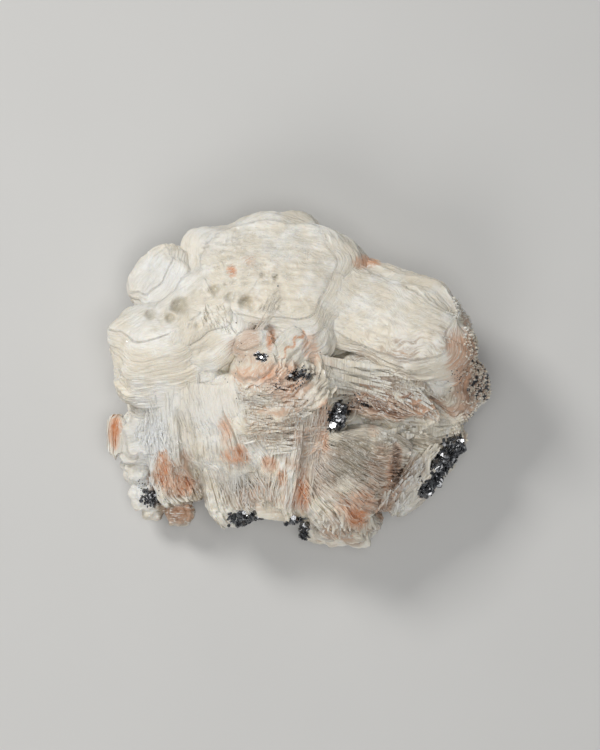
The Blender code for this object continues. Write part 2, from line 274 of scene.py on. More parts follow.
def calcite_finish():
    shop = Workshop("calcite")
    groove, tan, iron, soot, cool, dull = [
        shop.attribute(name) for name in ("groove", "tan", "iron", "soot", "cool", "dull")
    ]
    patches = shop.cloud(7.0, 4.0)
    grain = shop.cloud(0.9, 4.0, 0.6)
    speck = shop.cloud(0.35, 2.0, 0.6)
    thread = shop.threads(1.0, 3.0)
    hair = shop.threads(2.6, 2.0)
    dark_line = 1 - shop.ramp(thread, 0.34, 0.56)
    light_line = shop.ramp(hair, 0.52, 0.66)

    colour = shop.mix(shop.ramp(patches, 0.42, 0.66), CREAM, WHITE)
    colour = shop.mix(shop.ramp(shop.cloud(3.0, 4.0), 0.50, 0.74) * 0.4, colour, HONEY)
    colour = shop.mix(cool, colour, COOL_WHITE)
    # Dull spots grey and darken the cream: partly a greyer calcite, partly painted shade in recesses.
    clouded = dull + (patches - 0.5) * 0.7 + (0.5 - thread) * 1.8
    colour = shop.mix(shop.ramp(clouded, 0.05, 1.05) * shop.ramp(dull, 0.0, 0.15), colour, DULL_AND_SHADE)
    blush = tan + (patches - 0.5) * 0.9 + dark_line * 0.18 + groove * 0.15 - 0.16
    colour = shop.mix(shop.ramp(blush, 0.10, 0.95), colour, TAN)
    colour = shop.mix(shop.ramp(blush, 0.95, 1.60), colour, BROWN)
    # Painted shade: gaps, pit floors and dark threads are darkened towards the shade colour, more in dull
    # spots.
    depth = (groove * (0.6 + dull * 0.5) + dark_line * (0.15 + dull * 0.25)).clamp()
    colour = shop.mix(depth, colour, shop.mix(tan, PAINTED_SHADE, BROWN))
    stain = iron + (grain - 0.5) * 0.45 + (patches - 0.5) * 0.5 + (0.5 - thread) * 0.9 + groove * iron * 0.3
    stain = stain * shop.ramp(iron, 0.02, 0.25)
    colour = shop.mix(shop.ramp(stain, 0.10, 0.65) * 0.8, colour, PEACH)
    colour = shop.mix(shop.ramp(stain, 0.62, 1.15), colour, ORANGE)
    colour = shop.mix(shop.ramp(stain, 1.10, 1.60), colour, RUST)
    colour = shop.mix(light_line * (0.30 + dull * 0.3).clamp(), colour, WHITE)
    dust = soot * (0.45 + groove) + (speck - 0.5) * 1.1 + (0.5 - hair) * 0.5
    black = shop.ramp(dust, 0.52, 0.72) * shop.ramp(soot, 0.02, 0.12)
    colour = shop.mix(black, colour, SOOT)

    cells = {"Vector": shop.place(), "Scale": 1 / (FACET_SIZE * MM)}
    facets = shop.node("ShaderNodeTexVoronoi", {"feature": "F1"}, cells, "Color")
    # Painted glint: a few facet cells are whitened in colour, besides their lower roughness and a little
    # bump.
    flash_and_painted_glint = shop.ramp(facets, 0.76, 0.80) * shop.ramp(thread, 0.44, 0.56)
    colour = shop.mix(flash_and_painted_glint * 0.6, colour, WHITE)
    height = thread * 0.8 + hair * 0.35 + grain * 0.35 + speck * 0.2 + flash_and_painted_glint * 0.15
    relief = shop.bump(height, RELIEF_DEPTH, RELIEF_STRENGTH)
    roughness = 0.34 + shop.ramp(grain, 0.35, 0.65) * 0.24 + groove * 0.15 - flash_and_painted_glint * 0.26
    shader = shop.shader
    shader.inputs["Subsurface Weight"].default_value = 0.20
    shader.inputs["Subsurface Radius"].default_value = (1.0, 0.75, 0.5)
    shader.inputs["Subsurface Scale"].default_value = GLOW_REACH * MM
    shader.inputs["IOR"].default_value = 1.52
    return shop.finish(base_color=colour, roughness=roughness, normal=relief)


calcite = calcite_finish()
print("calcite's finish has", len(calcite.node_tree.nodes), "nodes")

# %% [markdown]
# Specular hematite is black where it is turned away from the light and as bright as a mirror where it
# faces it. A metallic shader with a low roughness does that by itself. Each plate has its own
# roughness from noise, so that some flash and others only gleam.

# %% The hematite's finish
IRON_BLACK = (0.17, 0.172, 0.18)
IRON_GREY = (0.38, 0.39, 0.405)
ROUGHEN_DEPTH = 0.05
ROUGHEN_STRENGTH = 0.5
FLOOR_SHADES = ((0.60, 0.60, 0.59), (0.64, 0.64, 0.63))


def hematite_finish():
    shop = Workshop("hematite")
    cloud = shop.cloud(1.2, 3.0)
    fine = shop.cloud(0.2, 2.0)
    colour = shop.mix(shop.ramp(cloud, 0.40, 0.70), IRON_BLACK, IRON_GREY)
    roughness = 0.10 + shop.ramp(cloud, 0.35, 0.70) * 0.28
    shop.shader.inputs["Metallic"].default_value = 1.0
    relief = shop.bump(fine, ROUGHEN_DEPTH, ROUGHEN_STRENGTH)
    return shop.finish(base_color=colour, roughness=roughness, normal=relief)


def floor_finish():
    shop = Workshop("floor")
    colour = shop.mix(shop.cloud(60.0, 3.0), *FLOOR_SHADES)
    return shop.finish(base_color=colour, roughness=0.75)


hematite = hematite_finish()
floor.data.materials.append(floor_finish())
print("hematite's finish has", len(hematite.node_tree.nodes), "nodes")

# %% [markdown]
# The same packs of blades as in the solid model, from the same named values: the middle of each, the
# way its front face looks, the way its blades run, their length and width, the thickness of the
# stack, how far it splays, how square the blades are, how much smaller they get towards the front,
# the ledges and the seed. What is new is the finish of each pack: how thick its blades are, how deep
# the gaps between them, how ragged their rims, how streaked their faces and how lumpy.

# %% The packs of blades
Bundle = namedtuple("Bundle", "name at face along length width depth fan square taper ledges seed")
Blades = namedtuple("Blades", "pitch gap ragged streak lumps")
Knob = namedtuple("Knob", "name at radius stretch seed")

BUNDLES = [
    Bundle("top_dome", (-7, 23, 18), (-0.08, 0.35, 0.94), (1, -0.1, 0),
           50, 39, 17, 8, 2.4, 0.22, 4, 3),
    Bundle("upper_left_fan", (-31, 23.6, 13), (-0.5, 0.5, 0.7), (0.7, 0.7, 0),
           21, 18, 10, 10, 2, 0.2, 2, 8),
    Bundle("left_lobe", (-29.2, 3.4, 15.5), (-0.15, 0.88, 0.45), (0.97, 0.15, -0.1),
           27, 25, 27, 10, 2.6, 0, 6, 5),
    Bundle("pitted_shoulder", (-20, 15.5, 20.5), (-0.3, 0.35, 0.88), (0.8, 0.6, 0),
           33, 25, 14, 8, 2.2, 0.15, 4, 6),
    Bundle("centre_fan", (-4.7, 1, 23.2), (-0.36, 0.5, 0.79), (0.85, 0.5, 0),
           40, 38, 22, 10, 2.2, 0.64, 6, 13),
    Bundle("tan_disc", (-10.4, 9, 33.8), (-0.3, 0.4, 0.87), (0.95, 0.2, 0),
           10, 7, 5, 4, 2, 0.1, 2, 15),
    Bundle("orange_lip", (-1, 8, 28.5), (-0.35, 0.35, 0.87), (0.75, 0.65, 0),
           13.5, 9, 7, 8, 2.4, 0.1, 3, 17),
    Bundle("right_block", (20.5, 14.2, 21), (-0.12, 0.22, 0.96), (1, -0.42, 0.02),
           46, 23, 15, 10, 2.8, 0.1, 3, 19),
    Bundle("right_flank", (31, 3.6, 14), (-0.25, 0.1, 0.96), (0.3, -0.95, 0),
           29, 22, 14, 8, 2.4, 0.25, 3, 23),
    Bundle("feather_bundle", (18.5, -0.5, 19), (0.15, 0.62, 0.77), (0.95, -0.3, 0.1),
           30, 16, 14, 16, 2.2, 0.3, 5, 29),
    Bundle("cream_shelf", (27, -12, 13), (0.35, 0.75, 0.56), (0.9, 0.3, 0.1),
           22, 13, 14, 16, 2.4, 0.1, 4, 31),
    Bundle("lower_right_blades", (24.5, -21.5, 11), (0.78, -0.5, 0.38), (0.5, 0.85, 0.05),
           21, 14, 11, 24, 2.4, 0, 5, 37),
    Bundle("barrel_fan", (11.5, -21, 19), (0.58, 0.79, 0.2), (0.8, -0.6, -0.1),
           22, 19, 22, 46, 2.2, 0, 6, 41),
    Bundle("bottom_tips", (10.5, -31.5, 8), (0.05, -0.1, 0.99), (1, 0, 0),
           19, 12, 8, 6, 3, 0.15, 3, 43),
    Bundle("curtain", (1.5, -14.5, 19.5), (0.95, -0.2, 0.2), (-0.2, -0.96, -0.22),
           34, 19, 11, 10, 2.4, 0, 5, 47),
    Bundle("lower_fan", (-9.8, -20.6, 13.5), (0.92, 0.38, 0.25), (0.36, -0.9, -0.3),
           20.5, 20, 22, 14, 2.4, 0, 5, 53),
    Bundle("left_centre_fan", (-20, -9, 18), (0.9, 0.1, 0.4), (0, -0.9, -0.4),
           27, 21, 25, 34, 2.2, 0, 6, 59),
    Bundle("left_shelf", (-33, -12, 10), (-0.2, 0.1, 0.97), (1, 0.3, 0),
           18, 15, 9, 8, 2.6, 0.2, 2, 61),
    Bundle("stained_ribs", (-27.5, -21, 10), (0.9, 0.35, 0.25), (0.2, -0.95, -0.1),
           14, 12, 9, 12, 3, 0, 3, 67),
    Bundle("orange_blade", (-41.6, -12.2, 10), (0.95, -0.1, 0.3), (0.12, 1, 0.05),
           11, 6, 3, 4, 3, 0, 2, 71),
]

BLADES = {
    "top_dome": Blades(0.8, 0.12, 0.35, 0.12, 0.75),
    "upper_left_fan": Blades(0.7, 0.15, 0.45, 0.12, 0.7),
    "left_lobe": Blades(0.62, 0.08, 0.26, 0.08, 0.4),
    "pitted_shoulder": Blades(0.7, 0.14, 0.4, 0.12, 0.7),
    "centre_fan": Blades(0.55, 0.55, 0.9, 0.12, 0.8),
    "tan_disc": Blades(0.6, 0.15, 0.25, 0.04, 0.2),
    "orange_lip": Blades(0.7, 0.30, 0.4, 0.10, 0.5),
    "right_block": Blades(0.75, 0.18, 0.4, 0.12, 0.35),
    "right_flank": Blades(0.7, 0.30, 0.7, 0.25, 0.8),
    "feather_bundle": Blades(0.8, 0.40, 0.9, 0.30, 1.0),
    "cream_shelf": Blades(0.8, 0.35, 0.7, 0.30, 1.0),
    "lower_right_blades": Blades(0.7, 0.45, 1.0, 0.35, 1.0),
    "barrel_fan": Blades(0.5, 0.28, 0.6, 0.15, 0.6),
    "bottom_tips": Blades(0.8, 0.35, 0.8, 0.25, 1.0),
    "curtain": Blades(0.5, 0.28, 0.55, 0.20, 0.8),
    "lower_fan": Blades(0.55, 0.2, 0.5, 0.20, 0.8),
    "left_centre_fan": Blades(0.5, 0.06, 0.25, 0.12, 0.5),
    "left_shelf": Blades(0.8, 0.22, 0.6, 0.25, 0.9),
    "stained_ribs": Blades(0.7, 0.40, 0.7, 0.25, 0.9),
    "orange_blade": Blades(0.55, 0.20, 0.3, 0.15, 0.5),
}

LOBE_SIZE = 0.12
LOBE_COUNT = 1.9
LOBE_DRIFT = 1.1
LEDGE_STEP = 0.12
LEDGE_SLIDE = 0.03
BARREL = 0.16
CROWN_RISE = 0.21
LEAST_ROOT = 0.4
FEWEST_BLADES = 3

print(len(BUNDLES), "packs")

# %% [markdown]
# Nature's unevenness comes from noise. This one works on whole arrays of points at once: it gives
# every corner of a lattice a fixed random value and blends between them, so it is smooth, quick and
# the same on each run.

# %% Smooth noise on arrays
LATTICE_PRIMES = (374761393, 668265263, 1442695041)
MIXING_PRIME = 1274126177
SEED_STEP = np.array((0.737, 1.913, 3.319))
SWELL_GAIN = 1.4


def corner_values(cell):
    """A fixed random value from -1 to 1 for each lattice corner."""
    mixed = sum(cell[..., axis] * prime for axis, prime in enumerate(LATTICE_PRIMES))
    mixed = (mixed ^ (mixed >> 13)) * MIXING_PRIME
    mixed = mixed ^ (mixed >> 16)
    return (mixed & 0xFFFF) / 32767.5 - 1


def swell(places, size, seed):
    """Smooth noise from about -1 to 1 that changes over this size."""
    scaled = np.asarray(places) / size + seed * SEED_STEP
    cell = np.floor(scaled).astype(np.int64)
    inside = scaled - cell
    inside = inside * inside * (3 - 2 * inside)
    total = 0
    for corner in np.ndindex(2, 2, 2):
        weight = np.prod(np.where(corner, inside, 1 - inside), axis=-1)
        total = total + weight * corner_values(cell + np.array(corner))
    return total * SWELL_GAIN


def layered(places, layers, seed):
    """Noises on top of each other, each with its size, its strength and its own seed."""
    return sum(swell(places, size, seed + own) * strength for size, strength, own in layers)


# %% [markdown]
# A pack is one closed skin, built like a lathe turning: ring after ring round the stack, three to a
# blade, out on the blade's rim and in at the gap below it. The first and last rings shrink to a
# point, which closes the front and back faces. Points of a ring are spaced evenly enough that a
# blade's broken edge, a third of a millimetre across, still shows.

# %% The frame and the outline of one pack


def bundle_turn(bundle):
    """X along the blades, Y across them, Z out of the front face, as columns of a matrix."""
    out = Vector(bundle.face).normalized()
    along = Vector(bundle.along)
    along = (along - along.dot(out) * out).normalized()
    return np.array(Matrix((along, out.cross(along), out)).transposed())


def outline(bundle, angles, levels):
    """How far a blade's lobed rim reaches, as a share of half its length or width."""
    power = bundle.square
    squared = (np.abs(np.cos(angles)) ** power + np.abs(np.sin(angles)) ** power) ** (-1 / power)
    rows = []
    for level in levels:
        drift = bundle.seed + level * LOBE_DRIFT
        row = [
            noise.noise((math.cos(a) * LOBE_COUNT, math.sin(a) * LOBE_COUNT, drift)) for a in angles
        ]
        rows.append(row)
    return squared * (1 + LOBE_SIZE * 2 * np.array(rows))


def ledges_of(bundle):
    """The size and the slide of each ledge, from the same draws as in the solid model."""
    chance = random.Random(bundle.seed)
    ledges = []
    for _ in range(bundle.ledges):
        share = 1 - LEDGE_STEP * chance.random()
        slide = [chance.uniform(-LEDGE_SLIDE, LEDGE_SLIDE) * bundle.length for _ in range(2)]
        ledges.append((share, *slide))
    return np.array(ledges)


def splayed(bundle, local):
    """A pack's own x, y and height in the stack as places in the stone, in millimetres."""
    x, y, height = local[..., 0], local[..., 1], local[..., 2]
    level = height / (bundle.depth / 2)
    splay = math.radians(bundle.fan)
    root_depth = max(bundle.depth - bundle.length / 2 * splay, bundle.depth * LEAST_ROOT)
    reach = x + bundle.length / 2
    turn = splay * level / 2
    z = level * root_depth / 2 + reach * np.sin(turn)
    x = reach * np.cos(turn) - bundle.length / 2
    return np.stack((x, y, z), axis=-1) @ bundle_turn(bundle).T + np.array(bundle.at)


# %% [markdown]
# Much depends on where a place is in the stone: stains, creases, soft joints. All of that is told by
# soft spots, each with a middle and two radii in millimetres seen from above, and a strength.
# In the calm spots two packs have grown together so well that no blade's rim shows between them.

# %% Soft spots
Spot = namedtuple("Spot", "x y wide high amount")
SPOT_EDGE = 1.25


def spots_at(*rows):
    """Soft spots from rows of middle x, middle y, radius along x, radius along y and strength."""
    return [Spot(*row) for row in rows]


CALM_SPOTS = spots_at(
    (8.5, 20, 8, 12, 0.95), (35.5, 8, 7, 11, 0.9), (-31, 6, 11, 10, 0.55),
    (-30, 10, 13, 5, 1), (10.5, 4, 6, 4, 0.8), (-29, 23, 6, 6, 0.7),
    (-24, -3.5, 13, 5, 0.9), (-14, 9, 8, 8, 0.9), (-18, 1.5, 6, 6, 0.9),
    (-2, 17, 8, 4, 0.8),
)


def spotted(places, spots, wobble=0.0):
    """The strongest of the soft spots at each place."""
    strongest = np.zeros(places.shape[:-1])
    for spot in spots:
        away = np.hypot((places[..., 0] - spot.x) / spot.wide, (places[..., 1] - spot.y) / spot.high)
        soft = np.clip(SPOT_EDGE - away + wobble, 0, 1)
        strongest = np.maximum(strongest, spot.amount * soft * soft * (3 - 2 * soft))
    return strongest


# %% [markdown]
# Each pack is worked out twice on the same grid of points: once plain, as in the solid model, and
# once with all its blades. The plain one tells how the packs lie against each other. What the blades
# add is kept as an offset.

# %% The side of the stack
RING_SPACING = 0.36
HIDDEN_SPACING = 0.8
HIDDEN_BELOW = -0.35
ANGLES_TRIED = 721
STRAND_LENGTH = 5.0
STRAND_WIDTH = 0.36
RIM_NOISE = ((4.5, 0.6, 0), (1.6, 0.35, 5), (0.7, 0.25, 9))
WAVE_NOISE = ((6.5, 0.5, 2), (2.2, 0.16, 4))
CHIP_NOISE = ((2.6, 1.0, 13),)
CHIP_START = 0.2
CHIP_STEEPNESS = 5
CHIP_DEPTH = 0.7
BLADE_STEP = 0.3
OPEN_NOISE = ((4.0, 1.3, 3),)
OPEN_USUAL = 0.45
OPEN_MOST = 1.8
HOLLOW_DEPTH = 0.5
HOLLOW_MOST = 1.4
CHIP_SHADE = 0.4
BLADE_SEED_STEP = 2.7
BLADE_THICKNESS = (0.55, 1.6)
GAP_AT = 0.04
LOWER_RIM = (0.22, 0.36)
UPPER_RIM = (0.66, 0.88)


def ring_angles(bundle):
    """Angles for points that are close on the stretch of rim that shows, and wider below."""
    fine = np.linspace(0, 2 * math.pi, ANGLES_TRIED)
    x = np.cos(fine) * bundle.length / 2
    y = np.sin(fine) * bundle.width / 2
    steps = np.hypot(np.diff(x), np.diff(y))
    turn = bundle_turn(bundle)
    upward = turn[2, 0] * np.cos(fine) + turn[2, 1] * np.sin(fine)
    spacing = np.where(upward[1:] > HIDDEN_BELOW, RING_SPACING, HIDDEN_SPACING)
    travelled = np.concatenate(([0], np.cumsum(steps / spacing)))
    count = round(travelled[-1])
    wanted = np.arange(count) / count * travelled[-1]
    return np.interp(wanted, travelled, fine)


def blade_edges(bundle, blades, chance):
    """Where each blade starts in the stack, from -1 to 1: some are thin and some are thick."""
    count = max(FEWEST_BLADES, round(bundle.depth / blades.pitch))
    thick = np.array([chance.uniform(*BLADE_THICKNESS) for _ in range(count)])
    return np.concatenate(([0], np.cumsum(thick))) / thick.sum() * 2 - 1


def blade_rings(bundle, blades, chance):
    """For each ring of the stack's side: its level, its blade's number, and whether it is in a gap."""
    edges = blade_edges(bundle, blades, chance)
    rings = []
    for number, (low, high) in enumerate(zip(edges, edges[1:])):
        rings.append((low + (high - low) * GAP_AT, number, 1))
        rings.append((low + (high - low) * chance.uniform(*LOWER_RIM), number, 0))
        rings.append((low + (high - low) * chance.uniform(*UPPER_RIM), number, 0))
    return np.array(rings)


def stack_side(bundle, blades, angles):
    """The plain side of the stack, what the blades add, how deep in a gap each point is, and its strand."""
    chance = random.Random(bundle.seed * 7 + 1)
    level, number, gap = blade_rings(bundle, blades, chance).T
    ledges = ledges_of(bundle)
    which = np.clip(((level + 1) / 2 * bundle.ledges).astype(int), 0, bundle.ledges - 1)
    ledge_share, slide_x, slide_y = ledges[which].T
    reach = outline(bundle, angles, level)
    reach = reach * ((1 - BARREL * level**2) * (1 - bundle.taper * (level + 1) / 2))[:, None]
    rim = np.stack((reach * np.cos(angles) * bundle.length / 2, reach * np.sin(angles) * bundle.width / 2))
    height = np.broadcast_to(level[:, None] * bundle.depth / 2, reach.shape)
    plain = np.stack((*(rim * (1 - LEDGE_STEP / 2)), height), axis=-1)
    stepped = rim * ledge_share[:, None] + np.stack((slide_x, slide_y))[:, :, None]
    x, y = stepped

    run = np.stack((x, y, np.broadcast_to(number[:, None] * BLADE_SEED_STEP, x.shape)), axis=-1)
    steps = np.array([chance.uniform(-1, 1) for _ in range(int(number[-1]) + 1)])
    broken = layered(run, RIM_NOISE, bundle.seed)
    chips = np.clip((layered(run, CHIP_NOISE, bundle.seed) - CHIP_START) * CHIP_STEEPNESS, 0, 1)
    own_step = BLADE_STEP * steps[number.astype(int)][:, None]
    proud = blades.ragged * (broken - chips * CHIP_DEPTH + own_step)
    open_here = np.clip(OPEN_USUAL + layered(plain, OPEN_NOISE, bundle.seed), 0, OPEN_MOST)
    calm = 1 - spotted(splayed(bundle, plain), CALM_SPOTS)
    sunk = gap[:, None] * blades.gap * open_here * calm
    push = proud * calm - sunk
    wave = layered(plain, WAVE_NOISE, bundle.seed)
    shift = np.stack((x + push * np.cos(angles), y + push * np.sin(angles), height + wave), axis=-1) - plain
    shift *= calm[..., None]
    # Gaps and chipped hollows go into the gap mark, which the finish darkens as painted shade.
    hollow = np.clip(sunk / HOLLOW_DEPTH, 0, HOLLOW_MOST) + np.clip(-proud, 0, 1) * calm * CHIP_SHADE
    travelled = np.cumsum(np.hypot(*(np.roll(rim, 1, axis=-1) - rim)), axis=1)
    strand = np.stack((travelled / STRAND_LENGTH, height / STRAND_WIDTH, 0 * x), axis=-1)
    return plain, shift, hollow, strand + bundle.seed


# %% [markdown]
# The front and back faces are rings too. Calcite's blades end in low steps there, like contour lines
# round a hill, with fine streaks along the blades. The back is hidden in the stone and gets only a
# few rings.

# %% The front and the back of the stack
CAP_SPACING = 0.42
CAP_STRAND = 2.2
BACK_RINGS = 6
FEWEST_RINGS = 6
RIM_FADE = 5
RIM_EASE = 10
MIDDLE_EASE = 6
STREAKS = ((0.14, 0.8, 1.0, 6), (0.3, 0.45, 0.4, 8))
STREAK_SHADE = 0.3
FLAKE_NOISE = ((9.0, 2.4, 7), (2.5, 0.3, 12))
FLAKES_INWARD = 0.9
FLAKE_STEEPNESS = 5
FLAKE_STEP = 0.25
LUMP_NOISE = ((4.0, 0.4, 11), (1.5, 0.14, 14))
BEND_NOISE = ((7.0, 2.2, 15), (2.4, 0.5, 16))


def stack_cap(bundle, blades, rim, rim_shift, side, count):
    """Rings from a rim in to the middle of the front or back face."""
    share = (1 - np.arange(1, count + 1) / count)[:, None]
    middle = rim.mean(axis=0)
    x = middle[0] + (rim[:, 0] - middle[0]) * share
    y = middle[1] + (rim[:, 1] - middle[1]) * share
    rise = 1 + CROWN_RISE * (1 - share**2)
    height = side * rise * np.ones_like(x) * bundle.depth / 2
    plain = np.stack((x, y, height), axis=-1)

    flat = plain * (1, 1, 0)
    streaks = 0
    for stretch, size, strength, own in STREAKS:
        streaks = streaks + swell(flat * (stretch, 1, 1), size, bundle.seed + own) * strength
    flakes = layered(flat, FLAKE_NOISE, bundle.seed) + share * FLAKES_INWARD
    riser = np.clip((flakes - np.floor(flakes)) * FLAKE_STEEPNESS, 0, 1)
    terrace = (np.floor(flakes) + riser) * FLAKE_STEP
    lumps = layered(flat, LUMP_NOISE, bundle.seed)
    fade = np.clip((1 - share) * RIM_EASE, 0, 1) * np.clip(share * MIDDLE_EASE, 0, 1)
    lift = (streaks * blades.streak + (terrace + lumps) * blades.lumps) * fade * side
    shift = rim_shift * share[..., None] ** RIM_FADE
    shift[..., 2] += lift
    bend = layered(flat, BEND_NOISE, bundle.seed)
    strand = np.stack((x / CAP_STRAND, (y + bend) / STRAND_WIDTH, x * 0), axis=-1) + bundle.seed
    # Low streaks go into the gap mark, which the finish darkens as painted shade.
    return plain, shift, np.clip(-streaks * STREAK_SHADE, 0, 1) * fade * np.ones_like(x), strand


def pack_rows(bundle):
    """The rows of a pack from the middle of its back to the middle of its front."""
    blades = BLADES[bundle.name]
    wall = stack_side(bundle, blades, ring_angles(bundle))
    plain, shift = wall[:2]
    count = max(FEWEST_RINGS, round(bundle.width * (1 - bundle.taper) / 2 / CAP_SPACING))
    front = stack_cap(bundle, blades, plain[-1], shift[-1], 1, count)
    back = stack_cap(bundle, blades, plain[0], shift[0], -1, BACK_RINGS)
    parts = [[rows[::-1] for rows in back], wall, front]
    return [np.concatenate(rows) for rows in zip(*parts)]


packs = {bundle.name: pack_rows(bundle) for bundle in BUNDLES}
print("packs have", sum(rows[2].size for rows in packs.values()), "points")

# %% [markdown]
# The packs grew against each other, so their faces are nearly level and only shallow creases part
# them. The smoothed height of all plain packs together stands for that common level, and every place
# near it is drawn towards it. Deep down nothing moves.

# %% Settle the packs into each other
GROUND = (-50, -45, 50, 45)
LEVEL_BLUR = 4.5
SETTLE_SHARE = 0.85
SETTLE_DEPTH = 10.0
CALM_SHARE = 0.97
RECESSES = spots_at(
    (10.5, -7, 5, 6, 1), (-24, -24, 4, 4, 1), (-41, -5, 5, 3, 1),
    (27, -9.5, 12, 4, 0.7), (22, -21, 15, 13, 0.45), (-2, -3, 12, 9, 0.4),
)
ROOT_MASS = Knob("massive_calcite", (0, -1, 11), 31, 0.39, 9)
ROOT_SPACING = 0.8


def tops_of(clouds, cell):
    """A map of the highest of these places over each cell of the ground."""
    columns, rows = [round((GROUND[side + 2] - GROUND[side]) / cell) for side in (0, 1)]
    top = np.zeros((rows, columns))
    for places in clouds:
        column = np.clip(((places[:, 0] - GROUND[0]) / cell).astype(int), 0, columns - 1)
        row = np.clip(((places[:, 1] - GROUND[1]) / cell).astype(int), 0, rows - 1)
        np.maximum.at(top, (row, column), places[:, 2])
    return top


def common_level(clouds):
    """The smoothed height of these places, one cell to the millimetre."""
    total = tops_of(clouds, 1.0)
    weight = (total > 0).astype(float)
    reach = round(3 * LEVEL_BLUR)
    bell = np.exp(-0.5 * (np.arange(-reach, reach + 1) / LEVEL_BLUR) ** 2)
    for axis in (0, 1):
        total = np.apply_along_axis(np.convolve, axis, total, bell, "same")
        weight = np.apply_along_axis(np.convolve, axis, weight, bell, "same")
    return total / np.maximum(weight, 1e-6)


def level_at(level, places, cell=1.0):
    """A map's height at each place, blended between its cells."""
    x = np.clip((places[..., 0] - GROUND[0]) / cell - 0.5, 0, level.shape[1] - 1.001)
    y = np.clip((places[..., 1] - GROUND[1]) / cell - 0.5, 0, level.shape[0] - 1.001)
    column, row = x.astype(int), y.astype(int)
    across, up = x - column, y - row
    low = level[row, column] * (1 - across) + level[row, column + 1] * across
    high = level[row + 1, column] * (1 - across) + level[row + 1, column + 1] * across
    return low * (1 - up) + high * up


def settling(level, places):
    """How far each place rises towards the common level."""
    below = level_at(level, places) - places[..., 2]
    share = np.maximum(SETTLE_SHARE, CALM_SHARE * spotted(places, CALM_SPOTS))
    share = share * (1 - spotted(places, RECESSES))
    return share * below * np.exp(-((np.maximum(below, 0) / SETTLE_DEPTH) ** 2))


def root_cloud():
    """Points on the upper side of the massive calcite under the packs."""
    side = np.arange(-ROOT_MASS.radius, ROOT_MASS.radius, ROOT_SPACING)
    x, y = np.meshgrid(side, side)
    inside = 1 - (x**2 + y**2) / ROOT_MASS.radius**2
    z = np.sqrt(np.maximum(inside, 0)) * ROOT_MASS.radius * ROOT_MASS.stretch
    return np.stack((x, y, z), axis=-1)[inside > 0] + np.array(ROOT_MASS.at)


clouds = [splayed(bundle, packs[bundle.name][0]).reshape(-1, 3) for bundle in BUNDLES]
level = common_level(clouds + [root_cloud()])
print("common level is", round(float(level.max()), 1), "mm at its highest")

# %% [markdown]
# Stains lie where the photograph shows them, and each is a soft spot. Iron gathers on exposed rims
# and in gaps, hematite soot between the blades. Tan spots darken the cream. Dull spots grey and darken
# it, partly as a greyer calcite and partly as painted shade, most in the recess under the right block
# and over the lower right. The stone is cooler and whiter at its lower left. A strength above 1 keeps
# the stain full further out. A thin rusty crack winds over the lip: a row of small iron spots.

# %% Where the stains and the painted shade lie
IRON_SPOTS = spots_at(
    (-15, 25.5, 1.5, 1.7, 1), (-11, 27.8, 2.6, 2.2, 0.3), (16, 27.8, 4, 2.2, 0.75),
    (-6.3, 9.5, 1.4, 3.2, 0.9), (-10, 8.5, 6, 5, 0.14), (2.8, 7.4, 3, 4.2, 0.45),
    (-4.5, 1, 9, 6, 0.62), (-11, 2, 4.5, 2.6, 0.6), (-5, -9, 11, 8, 0.3),
    (-13.8, -16.8, 4.2, 3, 0.85), (-16.5, -11, 2.2, 4.5, 0.5), (-6.4, -18.4, 2.6, 2.4, 0.6),
    (-3.8, -21.5, 1.8, 2.6, 0.65), (1, -24, 2.2, 6, 0.95), (4, -11, 4, 9, 0.36),
    (5.8, -6.2, 2.2, 4, 0.6), (6, -13, 1.6, 3.6, 0.75), (12.5, -26.8, 6, 4.2, 0.5),
    (13.4, -30.6, 4, 3.2, 1), (20.8, -22, 2, 7, 0.4), (17.2, -11, 2.2, 2, 0.35),
    (13, -1, 8, 4, 0.36), (20, 7, 12, 2.6, 0.2), (37.5, 9, 4, 7, 0.42),
    (36, 3, 4.5, 6.5, 0.45), (30, -5.5, 6, 4, 0.45), (-30.8, -20, 2.4, 5.5, 0.9),
    (-26.5, -23, 3, 3.5, 0.8), (-41.8, -10.8, 1.6, 5, 1), (-26.5, -30, 3.2, 3, 0.5),
    (11, -34, 9, 3.5, 0.28), (-8, -26, 10, 7, 0.22),
)

LIP_CRACK = ((1.2, 11.5), (-4.0, 5.7))
CRACK_STEPS = 24
CRACK_WANDER = 0.45
CRACK_BEND = 0.7
CRACK_WIDTH = 0.4
CRACK_IRON = 0.85
for step in range(CRACK_STEPS):
    x, y = Vector(LIP_CRACK[0]).lerp(Vector(LIP_CRACK[1]), step / (CRACK_STEPS - 1))
    aside = math.sin(step * CRACK_BEND) * CRACK_WANDER
    IRON_SPOTS.append(Spot(x + aside, y - aside, CRACK_WIDTH, CRACK_WIDTH, CRACK_IRON))

SOOT_SPOTS = spots_at(
    (0.8, 1.8, 5, 3.8, 0.85), (-3, -3, 8, 6, 0.42), (13.5, -4, 6, 3.4, 0.75),
    (9, -8, 4, 4.5, 0.7), (7.5, -14.5, 2.2, 2.6, 0.8), (43, -2, 3.6, 10, 2),
    (42, 9.5, 2.8, 7, 1.7), (37, 2, 4, 4, 0.4), (37, -12, 5, 5, 0.5),
    (-33.5, -25.5, 5, 4, 0.7), (22, -20, 2, 8, 0.65), (-11, -32, 6, 3, 0.7),
    (0.5, -33, 3, 4, 0.7), (31, -21, 5, 7, 0.8),
)

